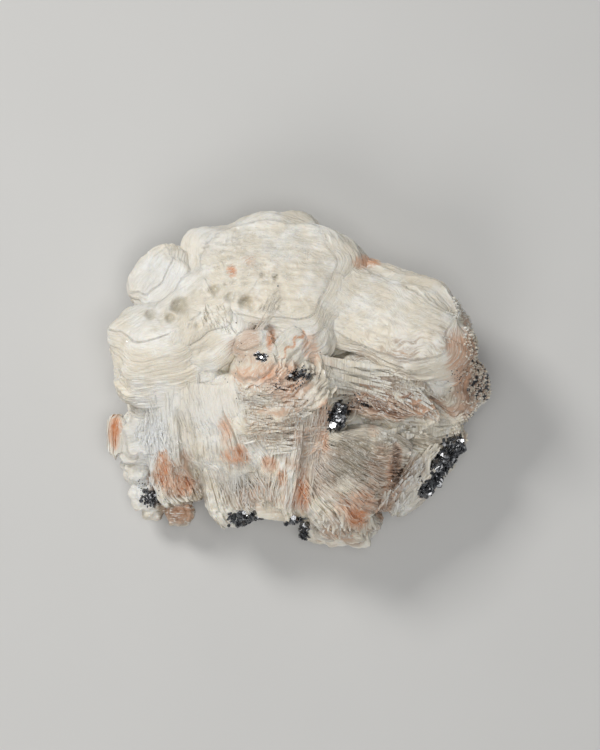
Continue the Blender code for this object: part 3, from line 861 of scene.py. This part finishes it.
# The strong tan spot at (22, -4.6) under the right block, with the dull spot there, is partly painted shade
# in that recess.
TAN_SPOTS = spots_at(
    (-1, -3, 11, 10, 0.5), (-2, -12, 11, 8, 0.45), (3.5, -16, 6, 15, 0.6),
    (-9, -24, 12, 8, 0.42), (-11, 8.5, 6, 5, 0.8), (1.5, 7, 4.6, 4.6, 0.12),
    (20, -1, 15, 7, 0.55), (22, -4.6, 11, 3.8, 1.9), (40, 2, 7, 17, 1.5),
    (27, -21, 9, 9, 0.5), (22, -19.5, 1.9, 7, 1.9), (19, -28.5, 2.6, 3.6, 1.3),
    (19.5, -21, 4.6, 9, 0.8), (13, -27, 10, 6, 0.7), (10, -33.5, 11, 4.5, 0.55),
    (22, 8, 18, 7, 0.32), (-28.5, -22, 6, 7, 1.15), (-27.5, -30.5, 3.6, 3.4, 1.6),
    (-41.8, -11, 2, 6, 0.6), (16, 28, 5, 3, 0.6), (-8.5, 27, 6, 4, 0.3),
    (-8, 17, 5, 6, 0.35),
)

# Dull spots grey the cream; the strong ones under the right block and on the lower right are partly painted
# shade.
DULL_AND_SHADE_SPOTS = spots_at(
    (14, -17, 9, 8, 1), (27, -12.5, 12, 4.5, 0.65), (22, -4.6, 12, 4.4, 1.9),
    (19, -1, 13, 6, 0.75), (26, -22, 7, 8, 0.28), (20, -26, 4, 8, 0.6),
    (11, -33, 9, 4, 0.6), (3, -14, 5, 14, 0.22), (-3, -9, 11, 9, 0.52),
    (-9, -25, 11, 6, 0.22), (-27.5, -30, 5, 4, 1.8), (-23, -26, 3, 3, 1.2),
    (16, 28, 4, 3, 0.6), (22, 6, 14, 4.5, 0.42), (38, 4, 5, 13, 0.8),
    (-28, -22, 5, 6, 1), (0.5, 1, 5, 4.5, 0.8),
)

COOL_SPOTS = spots_at(
    (-34, -13, 9, 10, 0.8), (-33, 24, 9, 8, 0.6), (-20, -6, 8, 9, 0.4),
    (-36, -24, 5, 6, 0.8), (-20, 33, 9, 5, 0.4), (24, -24, 8, 8, 0.3),
)
STAINS = {
    "tan": (TAN_SPOTS, 2),
    "iron": (IRON_SPOTS, 1),
    "soot": (SOOT_SPOTS, 1),
    "cool": (COOL_SPOTS, 1),
    "dull": (DULL_AND_SHADE_SPOTS, 2),
}
WOBBLE_NOISE = ((3.0, 0.16, 0),)
WOBBLE_SEED = 21


def marks_of(places, hollow, strand):
    """What the finish needs to know at each point. A stain's wobble makes its edge uneven."""
    wobble = layered(places, WOBBLE_NOISE, WOBBLE_SEED)
    marks = {"groove": hollow, "strand": strand}
    for name, (spots, unevenness) in STAINS.items():
        marks[name] = spotted(places, spots, wobble * unevenness)
    return marks


# %% [markdown]
# A grid becomes a closed skin when its columns are bent round into rings and the seam is merged. The
# ends need no lid, because all points of the first and last row fall together. The stone rests flat,
# so nothing may reach below the floor.

# %% From rows to a mesh
MERGE_DISTANCE = 1e-7
BLADE_ANGLE = 50
CLEAVAGE_ANGLE = 25
PLATE_ANGLE = 20
PITS = [
    (-26.4, 17.7, 2.5),
    (-18.9, 21.4, 2.1),
    (-15.2, 19.6, 1.7),
    (-11.9, 18.0, 2.3),
    (-28.9, 14.6, 1.5),
    (-33.5, 15.4, 1.7),
    (-22.8, 13.0, 1.3),
    (-8.0, 24.4, 1.0),
    (-5.0, 24.0, 0.9),
]
PIT_DEPTH = 0.75
PIT_STEEPNESS = 1.15
PIT_LOWEST = 14.0
PIT_ROUGHNESS = 0.3
PIT_GRAIN = 1.5
PIT_REACH = 1.2
PIT_SHADE = 0.9


def sink_pits(places, hollow):
    """Round pits in the shoulder: their floors are pushed down and counted as gaps, which gives them a
    painted shade.
    """
    for x, y, radius in PITS:
        away = np.hypot(places[..., 0] - x, places[..., 1] - y) / radius
        dip = np.clip((1 - away) * PIT_STEEPNESS + swell(places, PIT_GRAIN, radius) * PIT_ROUGHNESS, 0, 1)
        dip = dip * dip * (3 - 2 * dip) * (away < PIT_REACH) * (places[..., 2] > PIT_LOWEST)
        places[..., 2] -= dip * radius * PIT_DEPTH
        hollow += dip * PIT_SHADE
    return places, hollow


def write_marks(mesh, marks):
    """Keeps each mark as an attribute of the mesh's points."""
    for name, values in marks.items():
        if values.ndim == 2:
            mesh.attributes.new(name, "FLOAT_VECTOR", "POINT").data.foreach_set("vector", values.ravel())
        else:
            mesh.attributes.new(name, "FLOAT", "POINT").data.foreach_set("value", values)


def roll_up(name, places, marks):
    """A closed skin through rows of points."""
    rows, points = places.shape[:2]
    bm = bmesh.new()
    bmesh.ops.create_grid(bm, x_segments=points, y_segments=rows - 1, size=1)
    mesh = bpy.data.meshes.new(name)
    bm.to_mesh(mesh)
    spread = np.empty(len(mesh.vertices) * 3)
    mesh.vertices.foreach_get("co", spread)
    spread = (spread.reshape(-1, 3) + 1) / 2
    column = np.rint(spread[:, 0] * points).astype(int) % points
    row = np.rint(spread[:, 1] * (rows - 1)).astype(int)
    mesh.vertices.foreach_set("co", (places[row, column] * MM).ravel())
    write_marks(mesh, {key: values[row, column] for key, values in marks.items()})
    bm.clear()
    bm.from_mesh(mesh)
    bmesh.ops.remove_doubles(bm, verts=bm.verts, dist=MERGE_DISTANCE)
    bm.normal_update()
    bmesh.ops.recalc_face_normals(bm, faces=bm.faces)
    bm.to_mesh(mesh)
    bm.free()
    return mesh


def add_piece(mesh, material, node=None, sharp_angle=BLADE_ANGLE):
    """Makes the finished piece, which stands for the named node or is added to the stone."""
    mesh.shade_smooth()
    mesh.set_sharp_from_angle(angle=math.radians(sharp_angle))
    mesh.materials.append(material)
    piece = add_object(mesh.name, mesh)
    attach(piece, "root")
    if node:
        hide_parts(node)


# %% Build the packs
faces = 0
for bundle in BUNDLES:
    plain, shift, hollow, strand = packs[bundle.name]
    base = splayed(bundle, plain)
    places = splayed(bundle, plain + shift)
    places[..., 2] += settling(level, base)
    places, hollow = sink_pits(places, hollow)
    places[..., 2] = np.maximum(places[..., 2], 0)
    mesh = roll_up(bundle.name, places, marks_of(places, hollow, strand))
    add_piece(mesh, calcite, "calcite_mass")
    faces += len(mesh.polygons)
    print(bundle.name, "has", len(mesh.polygons), "faces")
print("packs have", faces, "faces in all")

# %% [markdown]
# The knobs at the lower left and the massive calcite under the blades are uneven balls. The mass is
# cut flat along a few cleavage planes, the way calcite breaks, and along the floor.

# %% Knobs and the massive calcite
Skin = namedtuple("Skin", "facets bumps bump_size")
KNOBS = [
    Knob("knob_upper", (-36.5, -19.5, 8.5), 4.2, 0.8, 1),
    Knob("knob_middle", (-35, -25.5, 7.5), 3.8, 0.8, 2),
    Knob("knob_lower", (-33.5, -28.5, 6.5), 3.0, 0.9, 3),
    Knob("knob_pink", (-27.5, -30, 7), 3.4, 0.8, 4),
]
KNOB_ROUGHNESS = 0.12
KNOB_COARSENESS = 1.7
# The knobs and the massive calcite carry an even painted shade through their gap mark.
KNOB_SHADE = 0.15
KNOB_SKIN = Skin(6, 0.35, 1.6)
ROOT_SKIN = Skin(7, 0.35, 2.2)
ROOT_SHADE = 0.3
BUMP_FRACTAL = (1.0, 2.0, 4)
BALL_STRAND_WIDTH = STRAND_WIDTH * 3
CLEAVAGES = [
    ((0.62, 0.1, -0.78), 19.5),
    ((-0.5, 0.35, -0.79), 18.0),
    ((0.1, 0.75, -0.66), 20.0),
    ((-0.2, -0.72, -0.66), 18.5),
    ((0.45, -0.55, -0.7), 19.0),
]


def uneven_ball(knob, skin):
    """A ball with the solid model's coarse unevenness and fine bumps on top of it."""
    bm = bmesh.new()
    bmesh.ops.create_icosphere(bm, subdivisions=skin.facets, radius=1)
    for vert in bm.verts:
        shift = Vector((0, 0, knob.seed))
        coarse = 1 + KNOB_ROUGHNESS * 2 * noise.noise(vert.co * KNOB_COARSENESS + shift)
        vert.co *= coarse
        vert.co.z *= knob.stretch
        vert.co = vert.co * knob.radius
        fine = noise.fractal(vert.co / skin.bump_size + shift, *BUMP_FRACTAL)
        vert.co += vert.co.normalized() * fine * skin.bumps
        vert.co += Vector(knob.at)
    return bm


def cut_flat(bm, place, normal):
    """Takes off all that lies beyond a plane and closes the cut."""
    geometry = bm.verts[:] + bm.edges[:] + bm.faces[:]
    bmesh.ops.bisect_plane(bm, geom=geometry, plane_co=place, plane_no=normal, clear_outer=True)
    open_edges = [edge for edge in bm.edges if edge.is_boundary]
    bmesh.ops.holes_fill(bm, edges=open_edges, sides=0)


def calcite_ball(name, bm, groove, sharp_angle=BLADE_ANGLE):
    """The ball as a piece of calcite, with the marks that its finish needs."""
    mesh = mesh_of(name, bm)
    places = np.array([vert.co for vert in mesh.vertices])
    strand = places / (STRAND_LENGTH, BALL_STRAND_WIDTH, STRAND_LENGTH)
    write_marks(mesh, marks_of(places, np.full(len(places), groove), strand))
    mesh.vertices.foreach_set("co", (places * MM).ravel())
    mesh.update()
    add_piece(mesh, calcite, "calcite_mass", sharp_angle)
    print(name, "has", len(mesh.polygons), "faces")


for knob in KNOBS:
    calcite_ball(knob.name, uneven_ball(knob, KNOB_SKIN), KNOB_SHADE)

bm = uneven_ball(ROOT_MASS, ROOT_SKIN)
for way, reach in CLEAVAGES:
    normal = Vector(way).normalized()
    cut_flat(bm, Vector(ROOT_MASS.at) + normal * reach, normal)
cut_flat(bm, Vector((0, 0, 0)), Vector((0, 0, -1)))
calcite_ball(ROOT_MASS.name, bm, ROOT_SHADE, CLEAVAGE_ANGLE)

# %% [markdown]
# A bright milky spot lies where the left fans meet: calcite that is massive there instead of bladed,
# with a neck towards the middle. Both are uneven balls like the knobs, sunk into the packs.

# %% The milky spot
MILKY_KNOBS = [
    Knob("milky_spot", (-18.5, 0.5, 18.8), 7.0, 0.62, 5),
    Knob("milky_neck", (-15.5, 5.0, 21.5), 5.0, 0.62, 6),
]
MILKY_SKIN = Skin(6, 0.4, 1.8)
MILKY_SHADE = 0.0

for knob in MILKY_KNOBS:
    calcite_ball(knob.name, uneven_ball(knob, MILKY_SKIN), MILKY_SHADE)

# %% [markdown]
# What stands on the packs has to sit on their real surface. A finer map of the finished packs'
# highest points serves for blades that lie on them. Crystals that stand out of a slope need places
# on the skin itself, with the way it looks there. A place shows if nothing is much further out in the
# same square millimetre, seen from above or from one of the four sides.

# %% The finished surface
SURFACE_CELL = 0.5
LOWEST_SEAT = 4.0
SHOWN_DEPTH = 0.8
SHOWN_GRID = 120


def finished_skin():
    """All points of the finished pieces and the way that the skin looks at each."""
    places, ways = [], []
    for piece in bpy.data.objects:
        if piece.type == "MESH" and "strand" in piece.data.attributes:
            for kept, data in ((places, piece.data.vertices), (ways, piece.data.vertex_normals)):
                flat = np.empty(len(data) * 3)
                data.foreach_get("vector" if kept is ways else "co", flat)
                kept.append(flat.reshape(-1, 3))
    return np.concatenate(places) / MM, np.concatenate(ways)


def shown(places):
    """Which of these places are on the outside of the stone."""
    seen = np.zeros(len(places), bool)
    for axis, side in ((2, 1), (0, 1), (0, -1), (1, 1), (1, -1)):
        other = [number for number in range(3) if number != axis]
        cell = tuple((np.floor(places[:, other]).astype(int) + SHOWN_GRID // 2).T)
        outermost = np.full((SHOWN_GRID, SHOWN_GRID), -np.inf)
        np.maximum.at(outermost, cell, places[:, axis] * side)
        seen |= places[:, axis] * side > outermost[cell] - SHOWN_DEPTH
    return seen & (places[:, 2] > LOWEST_SEAT)


skin_places, skin_ways = finished_skin()
outside = shown(skin_places)
skin_places, skin_ways = skin_places[outside], skin_ways[outside]
print(len(skin_places), "places on the outside")

surface = tops_of([skin_places], SURFACE_CELL)
for axis in (0, 1):
    sides = [np.roll(surface, step, axis) for step in (-1, 1)]
    surface = np.where(surface > 0, surface, np.minimum(*sides))


def on_surface(spot, lift):
    """The place on the finished surface over a spot of the ground, or None beside the stone."""
    x, y = (int((spot[axis] - GROUND[axis]) / SURFACE_CELL) for axis in (0, 1))
    if surface[y - 1:y + 2, x - 1:x + 2].min() < LOWEST_SEAT:
        return None
    height = float(level_at(surface, np.array((spot[0], spot[1], 0.0)), SURFACE_CELL))
    return Vector((spot[0], spot[1], height + lift))


def seats(spots, seed):
    """Places on the skin inside the spots, as many in each as its amount says, and their ways."""
    chance = np.random.default_rng(seed)
    for spot in spots:
        weight = spotted(skin_places, [spot._replace(amount=1.0)])
        chosen = chance.choice(len(weight), int(spot.amount), p=weight / weight.sum())
        for number in chosen:
            yield Vector(skin_places[number]), Vector(skin_ways[number])


# %% [markdown]
# Some blades stand free: the long white-tipped ones of the feather under the right block, the jagged
# ones at the lower right, the walls between the pits, the brown bristles on the barrel's rim. Each is
# a six-sided cone pressed flat, from its root to its tip. A tuft of them grows along a line, and its
# blades turn from one way to another along it. A tuft is one joined mesh.

# %% Free blades in tufts
Tuft = namedtuple("Tuft", "name start end spread ways count length width thick lift pale seed")
SLIVER_SIDES = 6
SLIVER_TIP = 0.12
SLIVER_WIDTHS = (0.5, 1.2)
SLIVER_THICKNESSES = (0.6, 1.3)
SLIVER_LENGTHS = (0.45, 1)
TIP_LIFTS = (0.2, 1)
FANNING = 0.14
LONGEST_REACH = 1.6
STRAND_PER_SLIVER = 0.37
SLIVER_ROOT_SHADE = 0.35
BATCH = 60


def sliver(bm, root, tip, width, thick):
    """A thin blade from its root to its pointed tip."""
    way = tip - root
    across = way.cross(Vector((0, 0, 1))).normalized()
    out = across.cross(way).normalized()
    turn = Matrix((across * width, out * thick, way)).transposed().to_4x4()
    bmesh.ops.create_cone(
        bm,
        cap_ends=True,
        segments=SLIVER_SIDES,
        radius1=0.5,
        radius2=SLIVER_TIP,
        depth=1,
        matrix=Matrix.Translation((root + tip) / 2) @ turn,
    )


def joined(name, shapes, core=None):
    """One mesh of a merged core, if there is one, and small shapes, each a function and its values.

    They are made a few at a time, because a shape takes longer the more its bmesh already holds.
    """
    whole = bmesh.new()
    if core:
        whole.from_mesh(core)
        bmesh.ops.remove_doubles(whole, verts=whole.verts, dist=MERGE_DISTANCE)
    for first in range(0, len(shapes), BATCH):
        bm = bmesh.new()
        for make, values in shapes[first:first + BATCH]:
            make(bm, *values)
        part = mesh_of("part", bm)
        whole.from_mesh(part)
        bpy.data.meshes.remove(part)
    return mesh_of(name, whole)


def random_way(chance):
    return Vector([chance.gauss(0, 1) for _ in range(3)]).normalized()


def blades_of(tuft):
    """The root and the tip of each blade of a tuft."""
    chance = random.Random(tuft.seed)
    start, end = Vector(tuft.start), Vector(tuft.end)
    line = (end - start).normalized()
    blades = []
    for _ in range(tuft.count):
        share = chance.random()
        spot = start.lerp(end, share) + Vector((-line.y, line.x)) * chance.uniform(-1, 1) * tuft.spread
        way = Vector(tuft.ways[0]).lerp(Vector(tuft.ways[1]), share).normalized()
        way = way + Vector((-way.y, way.x)) * chance.gauss(0, FANNING)
        half = way * tuft.length * chance.uniform(*SLIVER_LENGTHS) / 2
        root = on_surface(spot - half, -tuft.thick)
        tip = on_surface(spot + half, tuft.lift * chance.uniform(*TIP_LIFTS))
        if root and tip and (tip - root).length < tuft.length * LONGEST_REACH:
            blades.append((root, tip))
    return blades


def calcite_slivers(name, blades, width, thick, pale, seed, soot=1.0):
    """Joins blades in one mesh, with marks that are paler towards their tips and a painted shade at their
    roots.
    """
    chance = random.Random(seed)
    shapes = []
    for root, tip in blades:
        across = width * chance.uniform(*SLIVER_WIDTHS)
        through = thick * chance.uniform(*SLIVER_THICKNESSES)
        shapes.append((sliver, (root, tip, across, through)))
    mesh = joined(name, shapes)
    places = np.array([vert.co for vert in mesh.vertices])
    corners = 2 * SLIVER_SIDES
    roots = np.repeat([root for root, tip in blades], corners, axis=0)
    ways = np.repeat([tip - root for root, tip in blades], corners, axis=0)
    along = ((places - roots) * ways).sum(axis=1) / (ways**2).sum(axis=1)
    number = np.repeat(np.arange(len(blades)), corners)
    strand = np.stack((along, number * STRAND_PER_SLIVER, places[:, 0] / STRAND_WIDTH), axis=-1)
    # Roots get a painted shade through the gap mark, fading towards the tip.
    marks = marks_of(places, SLIVER_ROOT_SHADE * (1 - along), strand)
    for stain in ("tan", "iron", "soot", "dull"):
        marks[stain] = marks[stain] * (1 - pale * along)
    marks["soot"] = marks["soot"] * soot
    write_marks(mesh, marks)
    mesh.vertices.foreach_set("co", (places * MM).ravel())
    mesh.update()
    add_piece(mesh, calcite, sharp_angle=CLEAVAGE_ANGLE)
    print(name, "has", len(blades), "blades")


TUFTS = [
    Tuft("feather_slabs", (10, 3), (27, -3.5), 2.8, ((1, -0.2), (0.8, -0.6)),
         46, 14, 2.0, 0.8, 0.5, 0.9, 20),
    Tuft("feather_top", (11, 4.5), (30, -3.5), 2.2, ((1, -0.15), (0.8, -0.6)),
         70, 10, 1.5, 0.45, 0.5, 0.8, 1),
    Tuft("feather_low", (8, 0.5), (31, -6.5), 2.0, ((1, -0.15), (0.75, -0.65)),
         80, 8, 1.2, 0.4, 0.6, 0.6, 2),
    Tuft("feather_root", (9, -4.5), (19, -5), 1.8, ((1, 0.05), (1, -0.2)),
         70, 4.5, 0.8, 0.3, 0.4, 0.3, 3),
    Tuft("lower_right", (20.5, -29), (32, -16), 2.4, ((0.45, 0.9), (0.65, 0.75)),
         120, 5, 1.6, 0.4, 1.1, 0.8, 4),
    Tuft("grey_lumps", (19, -12.8), (37, -9.0), 1.6, ((1, 0.1), (1, 0.25)),
         40, 5, 2.4, 0.8, 0.3, 0.5, 5),
    Tuft("bristles_upper", (19.8, -12.6), (23.2, -20.5), 0.8, ((0.9, 0.4), (1, 0)),
         190, 1.8, 0.36, 0.36, 0.8, 0, 6),
    Tuft("bristles_lower", (23.2, -20.5), (17.5, -32), 0.8, ((1, -0.1), (0.7, -0.7)),
         230, 1.8, 0.36, 0.36, 0.8, 0, 7),
    Tuft("bottom_plates", (3, -32), (17.5, -33.5), 1.8, ((-0.2, -1), (0.3, -1)),
         50, 3.4, 2.0, 0.6, 0.5, 0.4, 8),
    Tuft("pit_walls", (-21.5, 16), (-14, 14.5), 2.6, ((0.3, -0.95), (0.5, -0.85)),
         60, 4.2, 0.35, 0.9, 0.5, 0.9, 9),
    Tuft("tan_strands", (-9, 13.6), (-5, 18.6), 1.8, ((0.5, 0.87), (0.5, 0.87)),
         50, 5.5, 0.6, 0.4, 0.3, 0, 10),
    Tuft("block_flakes", (6, 19), (34, 9), 7.0, ((1, -0.35), (1, -0.5)),
         260, 2.2, 0.4, 0.12, 0.07, 0.6, 11),
    Tuft("dome_flakes", (-22, 27), (8, 30), 6.0, ((1, 0.3), (1, -0.3)),
         240, 2.0, 0.5, 0.12, 0.08, 0.6, 12),
    Tuft("shelf_crystals", (-36, -9), (-29, -15), 3.6, ((-0.4, -1), (0.5, -1)),
         110, 2.6, 0.9, 0.5, 0.6, 0.6, 14),
    Tuft("rib_crystals", (-34, -20), (-23, -24), 3.4, ((-0.2, -1), (0.3, -1)),
         110, 2.4, 0.6, 0.45, 0.6, 0.3, 15),
    Tuft("fan_strands", (-29, -3), (-21, -19), 7.0, ((0.1, -1), (0.3, -0.9)),
         200, 6.0, 0.4, 0.12, 0.06, 0.8, 16),
    Tuft("curtain_strands", (5, -3), (0, -28), 2.6, ((-0.1, -1), (-0.25, -1)),
         180, 7.0, 0.4, 0.14, 0.08, 0.4, 17),
    Tuft("lower_strands", (-17, -19), (-3, -27), 5.0, ((0.15, -1), (0.05, -1)),
         160, 5.0, 0.4, 0.12, 0.08, 0.6, 18),
    Tuft("barrel_strands", (7, -17), (17, -25), 6.5, ((0.8, -0.75), (0.9, -0.5)),
         200, 4.5, 0.35, 0.12, 0.07, 0.6, 19),
    Tuft("terrace_tiles", (-9, -1), (1, -14), 6.0, ((1, -0.2), (1, 0.1)),
         260, 5.0, 1.3, 0.35, 0.5, 0.2, 21),
]
for tuft in TUFTS:
    calcite_slivers(tuft.name, blades_of(tuft), tuft.width, tuft.thick, tuft.pale, tuft.seed)

# %% [markdown]
# The right rim is covered with a crust of small blocky crystals, most of them clear and some black.
# The clear ones are the same cones as the free blades, short and thick, standing out of the slope.

# %% The crust on the right rim
CRUST_SPOTS = spots_at(
    (42, -1.5, 3.8, 9.5, 800), (40.5, 10.5, 3.2, 6.5, 300), (37.5, 17, 3, 3, 120),
    (38, -11, 3, 3, 120),
)
CRUST_HEIGHT = 0.9
CRUST_HEIGHTS = (0.5, 1.1)
CRUST_LEAN = 0.5
CRUST_SUNK = 0.4
CRUST_PROUD = 0.7
CRUST_WIDTH = 1.0
CRUST_THICKNESS = 0.8
CRUST_PALE = 0.9
CRUST_SOOT = 0.15
CRUST_SEED = 31

chance = random.Random(CRUST_SEED)
crust = []
for place, way in seats(CRUST_SPOTS, CRUST_SEED):
    lean = (way + random_way(chance) * CRUST_LEAN).normalized()
    lean = lean * CRUST_HEIGHT * chance.uniform(*CRUST_HEIGHTS)
    crust.append((place - lean * CRUST_SUNK, place + lean * CRUST_PROUD))
calcite_slivers("rim_crust", crust, CRUST_WIDTH, CRUST_THICKNESS, CRUST_PALE, CRUST_SEED + 2, CRUST_SOOT)

# %% [markdown]
# A hematite cluster is many thin six-sided plates that stand every way out of a dark lump. A cone
# with six sides and two nearly equal ends is such a plate. The lump is a merged copy of the solid
# that it stands for, and the plates are spread over its faces. A few plates are turned half-way
# between the viewer and the window, where they flash. All of one cluster's plates are one mesh.

# %% Hematite clusters
FLASH_WAY = (Vector(WINDOW.place).normalized() + Vector((0, 0, 1))).normalized()
FLASH_REACH = 2.0
FLASH_THICKNESS = 0.25
PLATE_BEVEL = 0.86
PLATE_LEANS = (-0.1, 1.4)
PLATE_LIFTS = (-0.4, 0.25)
PLATE_THICKNESSES = (0.15, 0.4)
Plates = namedtuple("Plates", "node count small large flashes seed")
CLUSTERS = [
    Plates("hematite_centre", 230, 0.35, 0.95, [(7.9, -9.4, 1.1), (9.4, -6.2, 0.5)], 101),
    Plates("hematite_fleck", 90, 0.2, 0.5, [(-8.2, 5.8, 0.4)], 103),
    Plates("hematite_lower_right", 520, 0.3, 0.9, [(37.6, -13.2, 0.5)], 107),
    Plates("hematite_bottom", 190, 0.3, 0.8, [(1.2, -32.6, 0.5)], 109),
    Plates("hematite_lower_left", 260, 0.3, 0.8, [(-10.0, -31.0, 0.4)], 113),
    Plates("hematite_foot", 140, 0.25, 0.6, [], 127),
]


def hex_plate(bm, place, way, size, thickness):
    """One six-sided plate, its flat face looking along way."""
    turn = way.to_track_quat("Z", "Y").to_matrix().to_4x4()
    bmesh.ops.create_cone(
        bm,
        cap_ends=True,
        segments=6,
        radius1=size,
        radius2=size * PLATE_BEVEL,
        depth=thickness,
        matrix=Matrix.Translation(place) @ turn,
    )


def hematite_cluster(plates):
    """A merged copy of the node's solid, covered with plates."""
    chance = random.Random(plates.seed)
    solid = frame["nodes"][plates.node].data
    areas = [face.area for face in solid.polygons]
    shapes = []
    for face in chance.choices(solid.polygons, weights=areas, k=plates.count):
        size = chance.uniform(plates.small, plates.large) * MM
        lean = face.normal.cross(random_way(chance)) + face.normal * chance.uniform(*PLATE_LEANS)
        place = face.center + face.normal * size * chance.uniform(*PLATE_LIFTS)
        thickness = size * chance.uniform(*PLATE_THICKNESSES)
        shapes.append((hex_plate, (place, lean.normalized(), size, thickness)))
    for x, y, size in plates.flashes:
        near = [vert.co.z for vert in solid.vertices if math.dist(vert.co.xy / MM, (x, y)) < FLASH_REACH]
        place = Vector((x * MM, y * MM, max(near)))
        shapes.append((hex_plate, (place, FLASH_WAY, size * MM, FLASH_THICKNESS * MM)))
    cluster = joined(plates.node + "_plates", shapes, solid)
    add_piece(cluster, hematite, plates.node, PLATE_ANGLE)
    print(cluster.name, "has", len(shapes), "plates")


for plates in CLUSTERS:
    hematite_cluster(plates)

# %% [markdown]
# Loose hematite lies between the blades, from dust to plates of a millimetre and more: round each
# cluster, in the gaps of the centre fan, among the knobs and all over the right rim. Each row gives
# the smallest and the largest radius, and the spots with the number of plates in each.

# %% Loose hematite
LOOSE = [
    (0.08, 0.22, spots_at(
        (0.6, 1.2, 3.4, 2.6, 160), (-4.5, -1, 2.6, 1.8, 50), (13.5, -4.2, 4, 2.4, 130),
        (42, -2, 3.6, 9, 420), (40.5, 9, 2.6, 6, 180), (35.5, 1, 3, 4, 60),
        (-33.5, -24.5, 3.4, 3.4, 90), (22.5, -20, 1.4, 6, 80), (-12, 7, 20, 16, 26),
    )),
    (0.2, 0.5, spots_at(
        (-8, 5.9, 1.6, 0.9, 60), (0.4, 1.6, 2.2, 1.4, 46), (42, -2, 3.6, 9, 130),
        (9, -7.5, 2.6, 3.6, 60),
    )),
    (0.3, 0.8, spots_at(
        (35.5, -14.5, 2.6, 2.6, 120), (32.5, -18.6, 2.6, 3, 150), (29.8, -23, 2.4, 2.8, 110),
        (0, -33.5, 2.8, 2.6, 120), (-12.5, -31, 4.5, 2, 150), (-34, -26.5, 2.4, 2, 40),
    )),
]
LOOSE_LIFT = 0.2
LOOSE_THICKNESS = 0.45
LOOSE_SEED = 41

shapes = []
for smallest, largest, spots in LOOSE:
    for place, way in seats(spots, LOOSE_SEED):
        size = chance.uniform(smallest, largest)
        lean = (way + random_way(chance)).normalized()
        place = (place + way * size * LOOSE_LIFT) * MM
        shapes.append((hex_plate, (place, lean, size * MM, size * LOOSE_THICKNESS * MM)))
add_piece(joined("loose_hematite", shapes), hematite, sharp_angle=PLATE_ANGLE)
print("loose hematite has", len(shapes), "plates")
